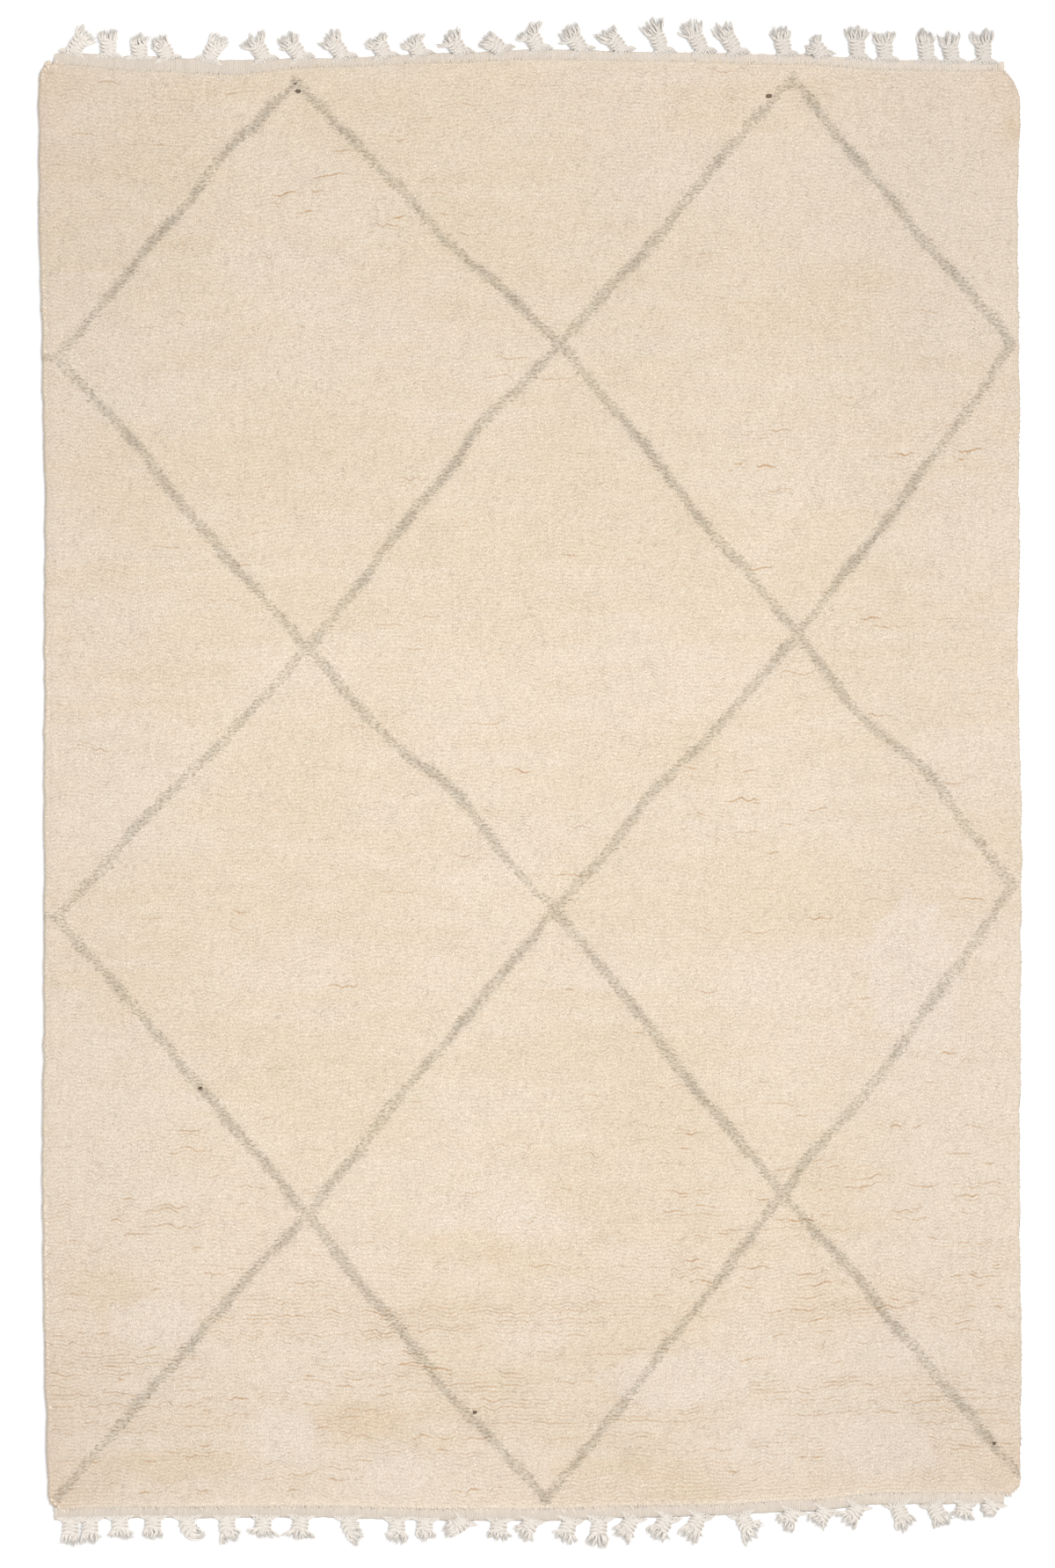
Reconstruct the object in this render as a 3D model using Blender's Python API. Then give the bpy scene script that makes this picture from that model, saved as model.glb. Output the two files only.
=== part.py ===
"""A hand-knotted wool rug with a pale field and tasselled ends, lying flat on the floor.

It has three pieces: the pile field, and at each end a narrow flat-woven band whose warp ends are
bunched into tassels. Each tassel is a few strands side by side, fused to the band at their roots.

Units are metres. +X runs across the rug, +Y along it towards its upper end, and +Z up. The origin
is on the floor under the middle of the rug.
"""

import math
from collections import namedtuple

import bmesh
import bpy
from mathutils import Vector
from mathutils.geometry import delaunay_2d_cdt

# ---------------------------------------------------------------- driving dimensions

PILE_HEIGHT = 0.017  # floor to the clipped tips of the wool
PILE_LUMP = 0.0011  # how far the pile's surface swells and sinks
PILE_GRID = 0.076  # spacing of the points over the pile's surface
GRID_JITTER = 0.014  # how far those points stray from an even grid

SIDE_PITCH = 0.028  # spacing of outline points along the sides
END_PITCH = 0.026  # spacing of outline points along the ends
SIDE_WOBBLE = 0.0019  # tufts along the sides stand in and out by this much
CORNER_STEPS = 4

BAND_THICKNESS = 0.005  # flat weave of the end bands
PIECE_GAP = 0.0003  # between the pile field and each end band

STRANDS = 4  # strands side by side in one tassel
STRAND_STEPS = 4  # sections along each strand
ROOT_WIDTH = 0.0064  # one strand where it leaves the band
ROOT_GAP = 0.0010  # between two strands of a tassel at the band
BAND_PITCH = 0.040  # longest straight stretch of band edge between tassels
RAGGED = 0.005  # how much the strands of one tassel differ in length

WOOL_COLOUR = (237, 220, 197)
WARP_COLOUR = (231, 223, 212)
FIBRE_ROUGHNESS = 0.95

# The rim of the pile from the floor up: how far in from the outline, and how high for its full height.
RimStep = namedtuple("RimStep", "inset rise")
RIM = (
    RimStep(inset=0.000, rise=0.00),
    RimStep(inset=0.000, rise=0.42),
    RimStep(inset=0.005, rise=0.82),
    RimStep(inset=0.016, rise=1.00),
)

# The two long sides, as the hand-woven rug really runs: never quite straight.
SideRow = namedtuple("SideRow", "y left right")
SIDES = (
    SideRow(-1.500, -0.984, 1.006),
    SideRow(-1.386, -0.988, 1.004),
    SideRow(-1.134, -0.994, 1.004),
    SideRow(-0.810, -0.999, 1.001),
    SideRow(-0.486, -0.995, 1.003),
    SideRow(-0.162, -0.994, 1.006),
    SideRow(0.270, -0.994, 0.999),
    SideRow(0.594, -0.992, 1.001),
    SideRow(0.810, -0.997, 1.001),
    SideRow(1.134, -1.004, 0.998),
    SideRow(1.500, -1.006, 1.004),
)

# The two ends: where the pile stops, and the outer edge of the flat-woven band beyond it.
EndRow = namedtuple("EndRow", "x pile band")
TOP_END = (
    EndRow(-1.004, 1.472, 1.478),
    EndRow(-0.962, 1.472, 1.492),
    EndRow(-0.797, 1.458, 1.483),
    EndRow(-0.617, 1.450, 1.476),
    EndRow(-0.437, 1.465, 1.480),
    EndRow(-0.167, 1.474, 1.490),
    EndRow(0.013, 1.481, 1.498),
    EndRow(0.283, 1.477, 1.492),
    EndRow(0.553, 1.471, 1.487),
    EndRow(0.733, 1.460, 1.477),
    EndRow(0.913, 1.457, 1.473),
    EndRow(1.003, 1.462, 1.472),
)
BOTTOM_END = (
    EndRow(-1.004, -1.487, -1.507),
    EndRow(-0.797, -1.483, -1.502),
    EndRow(-0.437, -1.481, -1.501),
    EndRow(-0.167, -1.487, -1.507),
    EndRow(0.013, -1.487, -1.508),
    EndRow(0.238, -1.481, -1.501),
    EndRow(0.373, -1.478, -1.496),
    EndRow(0.553, -1.469, -1.489),
    EndRow(0.733, -1.454, -1.474),
    EndRow(1.003, -1.453, -1.473),
)

# Corners of the pile: where they leave the side and the end, and how round they are (0 is a straight cut).
Corner = namedtuple("Corner", "along_side along_end fullness")
TOP_LEFT = Corner(along_side=0.030, along_end=0.030, fullness=0.85)
TOP_RIGHT = Corner(along_side=0.062, along_end=0.040, fullness=0.45)
BOTTOM_LEFT = Corner(along_side=0.028, along_end=0.028, fullness=0.85)
BOTTOM_RIGHT = Corner(along_side=0.028, along_end=0.028, fullness=0.85)

# Tassels: place along the band, length, lean and further curl in degrees towards +X, and width of the tip.
Tassel = namedtuple("Tassel", "x length lean curl fan")
TOP_TASSELS = (
    Tassel(-0.938, 0.062, 42, 0, 0.036),
    Tassel(-0.862, 0.054, 0, 0, 0.030),
    Tassel(-0.799, 0.048, 0, 0, 0.026),
    Tassel(-0.740, 0.050, -30, 0, 0.028),
    Tassel(-0.659, 0.060, 34, 0, 0.030),
    Tassel(-0.542, 0.062, -34, 0, 0.050),
    Tassel(-0.466, 0.064, -44, 4, 0.040),
    Tassel(-0.380, 0.064, -42, 6, 0.042),
    Tassel(-0.296, 0.052, -32, 0, 0.044),
    Tassel(-0.223, 0.044, -36, 4, 0.044),
    Tassel(-0.140, 0.054, -40, 0, 0.046),
    Tassel(-0.054, 0.052, -62, 4, 0.028),
    Tassel(0.020, 0.060, -36, 8, 0.050),
    Tassel(0.108, 0.060, -44, 10, 0.044),
    Tassel(0.191, 0.066, -48, 10, 0.040),
    Tassel(0.272, 0.072, -24, 6, 0.040),
    Tassel(0.356, 0.076, -34, 8, 0.042),
    Tassel(0.424, 0.074, -36, 6, 0.034),
    Tassel(0.524, 0.062, -20, 14, 0.032),
    Tassel(0.600, 0.044, -42, -12, 0.040),
    Tassel(0.672, 0.070, -6, 0, 0.042),
    Tassel(0.729, 0.064, -8, 0, 0.038),
    Tassel(0.814, 0.066, -8, 0, 0.030),
    Tassel(0.866, 0.062, -14, 6, 0.036),
    Tassel(0.930, 0.068, -4, 0, 0.042),
)
BOTTOM_TASSELS = (
    Tassel(-0.940, 0.056, 0, 0, 0.028),
    Tassel(-0.900, 0.054, 2, 0, 0.028),
    Tassel(-0.840, 0.048, 6, 0, 0.042),
    Tassel(-0.771, 0.046, 0, 0, 0.032),
    Tassel(-0.702, 0.056, 4, 120, 0.020),
    Tassel(-0.620, 0.052, 0, 34, 0.038),
    Tassel(-0.544, 0.048, -6, 0, 0.052),
    Tassel(-0.468, 0.052, -6, 0, 0.052),
    Tassel(-0.372, 0.054, 10, 70, 0.036),
    Tassel(-0.272, 0.052, 0, 0, 0.042),
    Tassel(-0.214, 0.044, -4, 12, 0.032),
    Tassel(-0.132, 0.050, -64, 0, 0.022),
    Tassel(-0.062, 0.044, -6, 0, 0.040),
    Tassel(0.004, 0.044, -28, -16, 0.036),
    Tassel(0.084, 0.052, -22, 0, 0.042),
    Tassel(0.144, 0.060, -8, 0, 0.038),
    Tassel(0.212, 0.056, -38, 14, 0.038),
    Tassel(0.284, 0.058, -40, 20, 0.040),
    Tassel(0.350, 0.060, -34, 14, 0.038),
    Tassel(0.432, 0.060, 30, 24, 0.048),
    Tassel(0.540, 0.042, -36, -10, 0.040),
    Tassel(0.608, 0.044, -42, 8, 0.038),
    Tassel(0.674, 0.050, -40, 8, 0.038),
    Tassel(0.750, 0.060, 28, 0, 0.038),
    Tassel(0.824, 0.052, 34, -10, 0.034),
    Tassel(0.892, 0.036, -14, 0, 0.038),
    Tassel(0.950, 0.032, -40, 0, 0.024),
)

# One strand from root to tip: its share of the tassel's width, and its height.
StrandStep = namedtuple("StrandStep", "share height")
STRAND_PROFILE = (
    StrandStep(share=0.90, height=0.0084),
    StrandStep(share=0.85, height=0.0090),
    StrandStep(share=0.78, height=0.0074),
    StrandStep(share=0.58, height=0.0036),
)
WAIST = 0.92  # a tassel is this much narrower just past its root
TOP_NARROWING = 0.72  # width of a strand's upper face for its lower one
EDGE_STRAND_HEIGHT = 0.82  # outer strands lie this much lower than the middle ones


# ---------------------------------------------------------------- small helpers


def remove_scene_objects():
    for obj in list(bpy.data.objects):
        bpy.data.objects.remove(obj, do_unlink=True)


def linear(channel):
    """A colour channel of 0 to 255 as the linear value a shader wants."""
    value = channel / 255
    if value <= 0.04045:
        return value / 12.92
    return ((value + 0.055) / 1.055) ** 2.4


def fibre_material(name, colour):
    material = bpy.data.materials.new(name)
    material.use_nodes = True
    shader = material.node_tree.nodes["Principled BSDF"]
    shader.inputs["Base Color"].default_value = (*(linear(c) for c in colour), 1.0)
    shader.inputs["Roughness"].default_value = FIBRE_ROUGHNESS
    shader.inputs["Metallic"].default_value = 0.0
    return material


def table_value(table, key, column, at):
    """A column of a table at one value of its key column, eased between the rows on either side."""
    for low, high in zip(table, table[1:]):
        if at <= getattr(high, key):
            break
    start = getattr(low, key)
    t = (at - start) / (getattr(high, key) - start)
    t = min(max(t, 0.0), 1.0)
    eased = t * t * (3 - 2 * t)
    return getattr(low, column) + (getattr(high, column) - getattr(low, column)) * eased


def spaced(start, stop, pitch):
    """Even steps from start to stop, no longer than about the pitch, with both ends."""
    count = max(1, math.ceil(abs(stop - start) / pitch))
    return [start + (stop - start) * i / count for i in range(count + 1)]


def scatter(*seeds):
    """A repeatable number between -1 and 1 that looks random."""
    value = math.sin(sum(seed * k for seed, k in zip(seeds, (12.9898, 78.233, 37.719)))) * 43758.5453
    return 2 * (value - math.floor(value)) - 1


def finish_object(bm, name, material):
    bmesh.ops.recalc_face_normals(bm, faces=bm.faces)
    mesh = bpy.data.meshes.new(name)
    bm.to_mesh(mesh)
    bm.free()
    mesh.materials.append(material)
    mesh.shade_smooth()
    mesh.set_sharp_from_angle(angle=math.radians(50))
    obj = bpy.data.objects.new(name, mesh)
    bpy.context.scene.collection.objects.link(obj)
    return obj


def fill_loop(bm, loop, inner=()):
    """Triangles over the flat area inside a loop of vertices, through any vertices inside it."""
    verts = list(loop) + list(inner)
    outline = [list(range(len(loop)))]
    result = delaunay_2d_cdt([v.co.xy for v in verts], [], outline, 1, 1e-6)
    triangles, sources = result[2], result[3]
    for triangle in triangles:
        bm.faces.new([verts[sources[corner][0]] for corner in triangle])


# ---------------------------------------------------------------- outline of the pile


def side_x(y, side):
    return table_value(SIDES, "y", side, y)


def corner_point(end_table, side):
    """Where the side and the pile's end would cross if the corner were sharp."""
    end_x = end_table[0].x if side == "left" else end_table[-1].x
    y = table_value(end_table, "x", "pile", end_x)
    return Vector((side_x(y, side), y))


def end_run(end_table, left_corner, right_corner):
    """x of the outline points along one end, from left to right between its corners."""
    start = corner_point(end_table, "left").x + left_corner.along_end
    stop = corner_point(end_table, "right").x - right_corner.along_end
    return spaced(start, stop, END_PITCH)


def end_points(end_table, left_corner, right_corner):
    run = end_run(end_table, left_corner, right_corner)
    return [Vector((x, table_value(end_table, "x", "pile", x))) for x in run]


def side_points(side, lower_corner, upper_corner):
    """Outline points up one side, standing in and out as its tufts do."""
    start = corner_point(BOTTOM_END, side).y + lower_corner.along_side
    stop = corner_point(TOP_END, side).y - upper_corner.along_side
    seed = len(side)
    points = []
    for i, y in enumerate(spaced(start, stop, SIDE_PITCH)):
        points.append(Vector((side_x(y, side) + SIDE_WOBBLE * scatter(i, seed), y)))
    return points


def corner_points(start, end, sharp, fullness):
    """Points between two ends of the outline, bowed towards the sharp corner."""
    control = start.lerp(end, 0.5).lerp(sharp, fullness)
    points = []
    for i in range(1, CORNER_STEPS):
        t = i / CORNER_STEPS
        points.append(start.lerp(control, t).lerp(control.lerp(end, t), t))
    return points


def pile_outline():
    """The pile's outline seen from above, anticlockwise from its lower left corner."""
    bottom = end_points(BOTTOM_END, BOTTOM_LEFT, BOTTOM_RIGHT)
    right = side_points("right", BOTTOM_RIGHT, TOP_RIGHT)
    top = end_points(TOP_END, TOP_LEFT, TOP_RIGHT)[::-1]
    left = side_points("left", BOTTOM_LEFT, TOP_LEFT)[::-1]
    turns = (
        (bottom, right, corner_point(BOTTOM_END, "right"), BOTTOM_RIGHT),
        (right, top, corner_point(TOP_END, "right"), TOP_RIGHT),
        (top, left, corner_point(TOP_END, "left"), TOP_LEFT),
        (left, bottom, corner_point(BOTTOM_END, "left"), BOTTOM_LEFT),
    )
    outline = []
    for run, following, sharp, corner in turns:
        outline += run
        outline += corner_points(run[-1], following[0], sharp, corner.fullness)
    return outline


# ---------------------------------------------------------------- pile field


def pile_top(x, y):
    """Height of the pile at a place: nearly level, with soft swells as in clipped wool."""
    swell = math.sin(5.1 * x + 1.3 * y) + math.sin(2.3 * x - 6.7 * y + 1.1) + math.sin(9.7 * y + 3.9 * x)
    return PILE_HEIGHT + PILE_LUMP * (swell + scatter(x, y)) / 3


def rim_ring(bm, outline, step):
    """One ring of vertices round the pile, set in from the outline."""
    ring = []
    for i, point in enumerate(outline):
        along = outline[(i + 1) % len(outline)] - outline[i - 1]
        inward = Vector((-along.y, along.x)).normalized()
        place = point + inward * step.inset
        ring.append(bm.verts.new((*place, step.rise * pile_top(*place))))
    return ring


def bridge(bm, lower, upper):
    for i in range(len(lower)):
        bm.faces.new((lower[i - 1], lower[i], upper[i], upper[i - 1]))


def pile_surface_points(bm):
    """Vertices scattered evenly over the pile inside its rim."""
    margin = RIM[-1].inset + PILE_GRID / 2
    verts = []
    for row, y in enumerate(spaced(BOTTOM_END[0].pile, TOP_END[0].pile, PILE_GRID)):
        for column, x in enumerate(spaced(SIDES[0].left, SIDES[0].right, PILE_GRID)):
            px = x + GRID_JITTER * scatter(row, column, 1)
            py = y + GRID_JITTER * scatter(row, column, 2)
            across = side_x(py, "left") + margin < px < side_x(py, "right") - margin
            lowest = table_value(BOTTOM_END, "x", "pile", px) + margin
            highest = table_value(TOP_END, "x", "pile", px) - margin
            if across and lowest < py < highest:
                verts.append(bm.verts.new((px, py, pile_top(px, py))))
    return verts


def make_pile_field(material):
    bm = bmesh.new()
    outline = pile_outline()
    rings = [rim_ring(bm, outline, step) for step in RIM]
    fill_loop(bm, rings[0])
    for lower, upper in zip(rings, rings[1:]):
        bridge(bm, lower, upper)
    fill_loop(bm, rings[-1], pile_surface_points(bm))
    return finish_object(bm, "pile_field", material)


# ---------------------------------------------------------------- end bands and their tassels


def root_edges(tassel):
    """The x of both edges of each strand's root, from left to right."""
    width = STRANDS * ROOT_WIDTH + (STRANDS - 1) * ROOT_GAP
    start = tassel.x - width / 2
    edges = []
    for i in range(STRANDS):
        left = start + i * (ROOT_WIDTH + ROOT_GAP)
        edges.append((left, left + ROOT_WIDTH))
    return edges


def tassel_path(tassel, outward):
    """The middle line of a tassel past its root: (place from the root, heading) at each step."""
    length = tassel.length / STRAND_STEPS
    place = Vector((0.0, 0.0))
    path = []
    for i in range(STRAND_STEPS):
        middle = (i + 0.5) / STRAND_STEPS
        finish = (i + 1) / STRAND_STEPS
        place = place + heading_at(tassel, middle, outward) * length
        path.append((place.copy(), heading_at(tassel, finish, outward)))
    return path


def heading_at(tassel, t, outward):
    """Direction of a tassel at a fraction of its length: it leans first and then curls."""
    lean = tassel.lean * (0.45 + 0.55 * min(1.0, 2 * t))
    curl = tassel.curl * max(0.0, t - 0.3) / 0.7
    angle = math.radians(lean + curl)
    return Vector((math.sin(angle), outward * math.cos(angle)))


def grow_strand(bm, root, number, tassel, outward):
    """Carry one root of four vertices out along the tassel and close its tip."""
    middle = Vector((tassel.x, (root[0].co.y + root[1].co.y) / 2))
    root_total = STRANDS * ROOT_WIDTH + (STRANDS - 1) * ROOT_GAP
    side = (number - (STRANDS - 1) / 2) / STRANDS
    height_share = EDGE_STRAND_HEIGHT if number in (0, STRANDS - 1) else 1.0
    ring = root
    for i, (place, heading) in enumerate(tassel_path(tassel, outward)):
        step = STRAND_PROFILE[i]
        t = i / (STRAND_STEPS - 1)
        total = root_total * WAIST * (1 - t) + tassel.fan * t
        across = Vector((heading.y, -heading.x)) * outward
        centre = middle + place + across * (side * total)
        if i == STRAND_STEPS - 1:
            centre += heading * (RAGGED * scatter(number, tassel.x))
        half = across * (total / STRANDS * step.share / 2)
        top_half = half * TOP_NARROWING
        height = step.height * height_share
        corners = (
            (*(centre - half), 0.0),
            (*(centre + half), 0.0),
            (*(centre + top_half), height),
            (*(centre - top_half), height),
        )
        section = [bm.verts.new(corner) for corner in corners]
        bridge(bm, ring, section)
        ring = section
    bm.faces.new(ring)


def band_edge(tassels, start, stop):
    """The band's outer edge as (x, strand) pairs; strand names the root that begins at that x, or is None."""
    stations = []
    reached = start
    for index, tassel in enumerate(tassels):
        edges = root_edges(tassel)
        stations += [(x, None) for x in spaced(reached, edges[0][0], BAND_PITCH)[:-1]]
        for number, (left, right) in enumerate(edges):
            stations.append((left, (index, number)))
            stations.append((right, None))
        reached = stations.pop()[0]
    stations += [(x, None) for x in spaced(reached, stop, BAND_PITCH)]
    return stations


def make_end_band(name, end_table, inner_x, tassels, outward, material):
    """One flat-woven band with its tassels. inner_x are the pile's own outline points along that end."""
    bm = bmesh.new()
    inner = [(x, table_value(end_table, "x", "pile", x) + outward * PIECE_GAP) for x in inner_x]
    stations = band_edge(tassels, inner_x[0], inner_x[-1])
    outer = [(x, table_value(end_table, "x", "band", x)) for x, _ in stations]
    low_inner = [bm.verts.new((*p, 0.0)) for p in inner]
    high_inner = [bm.verts.new((*p, BAND_THICKNESS)) for p in inner]
    low_outer = [bm.verts.new((*p, 0.0)) for p in outer]
    high_outer = [bm.verts.new((*p, BAND_THICKNESS)) for p in outer]
    fill_loop(bm, low_inner + low_outer[::-1])
    fill_loop(bm, high_inner + high_outer[::-1])
    for i in range(len(inner) - 1):
        bm.faces.new((low_inner[i], low_inner[i + 1], high_inner[i + 1], high_inner[i]))
    for end in (0, -1):
        bm.faces.new((low_inner[end], low_outer[end], high_outer[end], high_inner[end]))
    for i in range(len(stations) - 1):
        root = [low_outer[i], low_outer[i + 1], high_outer[i + 1], high_outer[i]]
        strand = stations[i][1]
        if strand is None:
            bm.faces.new(root)
        else:
            grow_strand(bm, root, strand[1], tassels[strand[0]], outward)
    return finish_object(bm, name, material)


# ---------------------------------------------------------------- the rug


def main():
    remove_scene_objects()
    wool = fibre_material("pile_wool", WOOL_COLOUR)
    warp = fibre_material("warp_yarn", WARP_COLOUR)
    make_pile_field(wool)
    top_x = end_run(TOP_END, TOP_LEFT, TOP_RIGHT)
    bottom_x = end_run(BOTTOM_END, BOTTOM_LEFT, BOTTOM_RIGHT)
    make_end_band("end_band_top", TOP_END, top_x, TOP_TASSELS, 1, warp)
    make_end_band("end_band_bottom", BOTTOM_END, bottom_x, BOTTOM_TASSELS, -1, warp)


main()
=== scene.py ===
import math
from collections import namedtuple

import bpy
import numpy as np
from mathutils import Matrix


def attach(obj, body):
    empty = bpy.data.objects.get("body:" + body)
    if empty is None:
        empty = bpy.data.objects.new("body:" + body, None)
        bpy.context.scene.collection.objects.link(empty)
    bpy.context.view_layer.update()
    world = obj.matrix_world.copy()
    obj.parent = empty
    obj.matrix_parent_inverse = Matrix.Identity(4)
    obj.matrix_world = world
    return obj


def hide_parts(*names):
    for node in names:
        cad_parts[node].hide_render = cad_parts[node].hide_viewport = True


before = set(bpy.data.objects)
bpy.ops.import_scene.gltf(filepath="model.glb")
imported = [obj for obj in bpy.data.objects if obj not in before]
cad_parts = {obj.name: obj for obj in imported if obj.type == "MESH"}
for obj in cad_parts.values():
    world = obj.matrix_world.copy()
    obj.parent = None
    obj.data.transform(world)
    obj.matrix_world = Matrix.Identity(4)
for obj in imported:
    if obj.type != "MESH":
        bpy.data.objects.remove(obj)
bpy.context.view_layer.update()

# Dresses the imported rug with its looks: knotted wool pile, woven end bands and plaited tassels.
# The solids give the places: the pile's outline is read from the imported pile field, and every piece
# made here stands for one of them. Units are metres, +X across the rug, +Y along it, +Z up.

# -------- framing

PHOTO_PIXELS = 1783  # height of the picture
PIXEL = 0.0018  # metres of rug to one pixel
FRAME_CENTRE = (-0.0054, -0.0027)
CAMERA_HEIGHT = 12.0
SENSOR = 36.0  # mm, along the picture's longer side

# -------- light

WORLD_LIGHT = 0.92
LAMP_PLACE = (8.6, 3.2, 12.9)
LAMP_SIZE = 8.0
LAMP_WATTS = 1800.0
FLOOR_SIZE = 120.0
FLOOR_COLOUR = (254, 254, 254)

# -------- pile

# The field as the even grid of knots sees it, before the outline bends that grid.
FIELD_WIDTH, FIELD_LENGTH = 2.00, 2.95
FIELD_LEFT, FIELD_FOOT = -1.00, -1.48
PILE_HEIGHT = 0.017
PILE_LUMP = 0.0011  # how far the pile's surface swells and sinks
ROW_PITCH = 0.0080  # one row of knots
KNOT_PITCH = 0.0056  # along a row
VALLEY = 0.0020  # how far the pile dips between two rows
NAP_LEAN = 0.0010  # tips of the knots lie this far towards -Y
KNOT_JITTER = 0.0006  # height of one knot against the next
PLACE_JITTER = 0.0010  # each knot along its row
ROW_JITTER = 0.0009  # each knot across its row
ROW_WANDER = 0.0030  # how far the rows run up and down
RIPPLE_TOP, RIPPLE_BOTTOM = 0.0002, 0.0005  # waves in the nap near the upper and the lower end
PILE_PIECES = 4  # the field is split in four, so that no mesh is too large
EDGE_STEPS = (0.0, 0.0012, 0.0030, 0.0058, 0.0095)  # first grid lines in from each edge
NEAR_EDGE = 0.035  # points this near an edge are set against the outline
CALM_EDGE = 0.014  # the knots lie evenly this near an edge
SOFT_EDGE = (0.024, -0.016)  # the shading softens outwards from here, over this distance

# The rim of the pile: how far in from the outline, and how high for its full height.
RIM_INSET = (0.0000, 0.0012, 0.0030, 0.0060, 0.0110, 0.0170)
RIM_RISE = (0.34, 0.52, 0.69, 0.84, 0.95, 1.00)

# How far the shading of the wool is turned upwards, from 0 to 1.
NAP_SOFTNESS, RIM_SOFTNESS, YARN_SOFTNESS = 0.20, 0.80, 0.40
BREAK_DEPTH = 0.0010  # the pile opens this deep between two rows
BREAK_LENGTH = (0.03, 0.11)  # the shortest opening, and how much longer the longest is
FINE_BREAKS = 0.54  # strength of the many fine openings towards the lower end
OPEN_SHADE_SHARE = 0.24  # how much painted shade, the warm shade deep in the pile, shows between rows where the nap stands open
# Where the pile opens between its rows: a patch's centre and reach, how many openings, how deep.
BreakPatch = namedtuple("BreakPatch", "x y reach_x reach_y count strength")
BREAKS = [BreakPatch(*row) for row in (
    (0.00, 0.00, 1.00, 1.47, 420, 0.42),
    (-0.55, -1.26, 0.46, 0.19, 140, 0.62),
    (0.62, -1.28, 0.42, 0.16, 60, 0.54),
    (0.00, -1.12, 0.98, 0.30, 150, 0.50),
    (-0.30, 1.17, 0.50, 0.06, 14, 0.72),
    (0.66, 0.69, 0.24, 0.05, 8, 0.90),
    (0.70, -0.10, 0.28, 0.60, 40, 0.62),
    (-0.10, -0.35, 0.60, 0.40, 40, 0.55),
    (0.62, -0.92, 0.36, 0.22, 120, 0.60),
    (-0.70, -0.92, 0.27, 0.22, 60, 0.50),
    (-0.28, 1.24, 0.20, 0.10, 16, 0.56),
)]

# Layers of noise: how strong, how wide a swell is across and along the rug, and the seed.
Layer = namedtuple("Layer", "strength cell_x cell_y seed")
WANDER_NOISE = (
    Layer(1.0, 0.070, 0.065, 2),
    Layer(1.2, 0.021, 0.065, 3),
    Layer(1.3, 0.0115, 0.065, 8),
)
RIPPLE_NOISE = (Layer(1.0, 0.16, 0.030, 11), Layer(0.6, 0.07, 0.016, 12))
# Along one valley, numbered two apart, so that no run carries over to the next valley.
RUN_NOISE = (Layer(0.8, 0.130, 1.0, 62), Layer(0.5, 0.026, 1.0, 63), Layer(0.3, 0.010, 1.0, 65))
CLOUD_NOISE = (
    Layer(0.60, 0.34, 0.15, 21),
    Layer(0.45, 0.13, 0.035, 22),
    Layer(0.30, 0.055, 0.012, 23),
)
DYE_NOISE = (Layer(0.12, 0.040, 0.040, 36), Layer(0.08, 0.13, 0.13, 37))

# -------- colours, 0 to 255

LIGHT = 1.205  # light on a level surface, when 1 is just white on screen
CREAM = (240, 226, 206)
CREAM_PALE = (243, 231, 217)
CREAM_GOLD = (233, 210, 180)
# Painted shade: the warm shade deep in the pile between open rows.
OPEN_SHADE_COLOUR = (214, 176, 136)
# What the wool's colour is multiplied by where it is dyed or shaded.
GREY_PALE = (0.91, 0.93, 0.93)
GREY_DARK = (0.64, 0.63, 0.60)
FLECK_TONE = (0.24, 0.20, 0.18)
# Painted shade where the pile opens between two rows.
BREAK_SHADE = (0.80, 0.62, 0.46)
WARP = (241, 235, 227)
WARP_DARK = (222, 209, 197)
BAND = (235, 223, 209)

# Slow changes of shade: the wool loses this amount of light over reach, from start on.
Shading = namedtuple("Shading", "axis start reach amount")
SHADING = (
    Shading("y", 0.10, 1.20, 0.085),
    Shading("y", -0.95, -0.35, 0.035),
    Shading("x", -0.55, -0.40, 0.040),
    Shading("x", -0.05, 0.25, 0.020),
    Shading("x", 0.45, 0.40, 0.055),
)
CORNER_LOSS = (0.015, 0.045, 0.065)  # red, green and blue lost in the rug's corners
VALLEY_SHADE = (0.965, 0.940, 0.910)  # painted shade: the wool's colour is multiplied by this between two rows
# Painted light: the wool's colour is multiplied by this on the crests of the rows.
CREST_LIGHT = 1.01
RIM_SHADE_REACH = 0.026  # the pile's shade changes this far in from its edge

# Smooth paler spots where the nap was brushed down: their paler colour is painted sheen of the
# flattened nap.
Spot = namedtuple("Spot", "x y reach_x reach_y")
BRUSHED = [Spot(*row) for row in (
    (-0.50, -1.34, 0.075, 0.060),
    (-0.27, -1.42, 0.090, 0.045),
    (0.30, -1.22, 0.150, 0.060),
    (0.72, -1.36, 0.120, 0.060),
    (0.78, -0.40, 0.100, 0.160),
    (-0.76, -1.10, 0.110, 0.050),
)]

# Broad paler places without an edge.
PALER = [Spot(*row) for row in (
    (0.445, -1.370, 0.120, 0.080),
    (0.750, -1.130, 0.120, 0.090),
    (0.000, -1.130, 0.120, 0.070),
    (0.000, -0.900, 0.110, 0.080),
    (-0.900, -1.130, 0.050, 0.090),
)]

# Deeper golden spots, as wool yellows.
GOLDEN = [Spot(*row) for row in (
    (0.985, 1.345, 0.034, 0.042),
    (-0.720, -1.395, 0.200, 0.045),
    (-0.350, -1.300, 0.120, 0.055),
    (-0.860, -1.060, 0.120, 0.120),
    (0.160, -1.400, 0.180, 0.040),
    (-0.060, -0.960, 0.200, 0.060),
)]

# -------- lattice of grey lines

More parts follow.
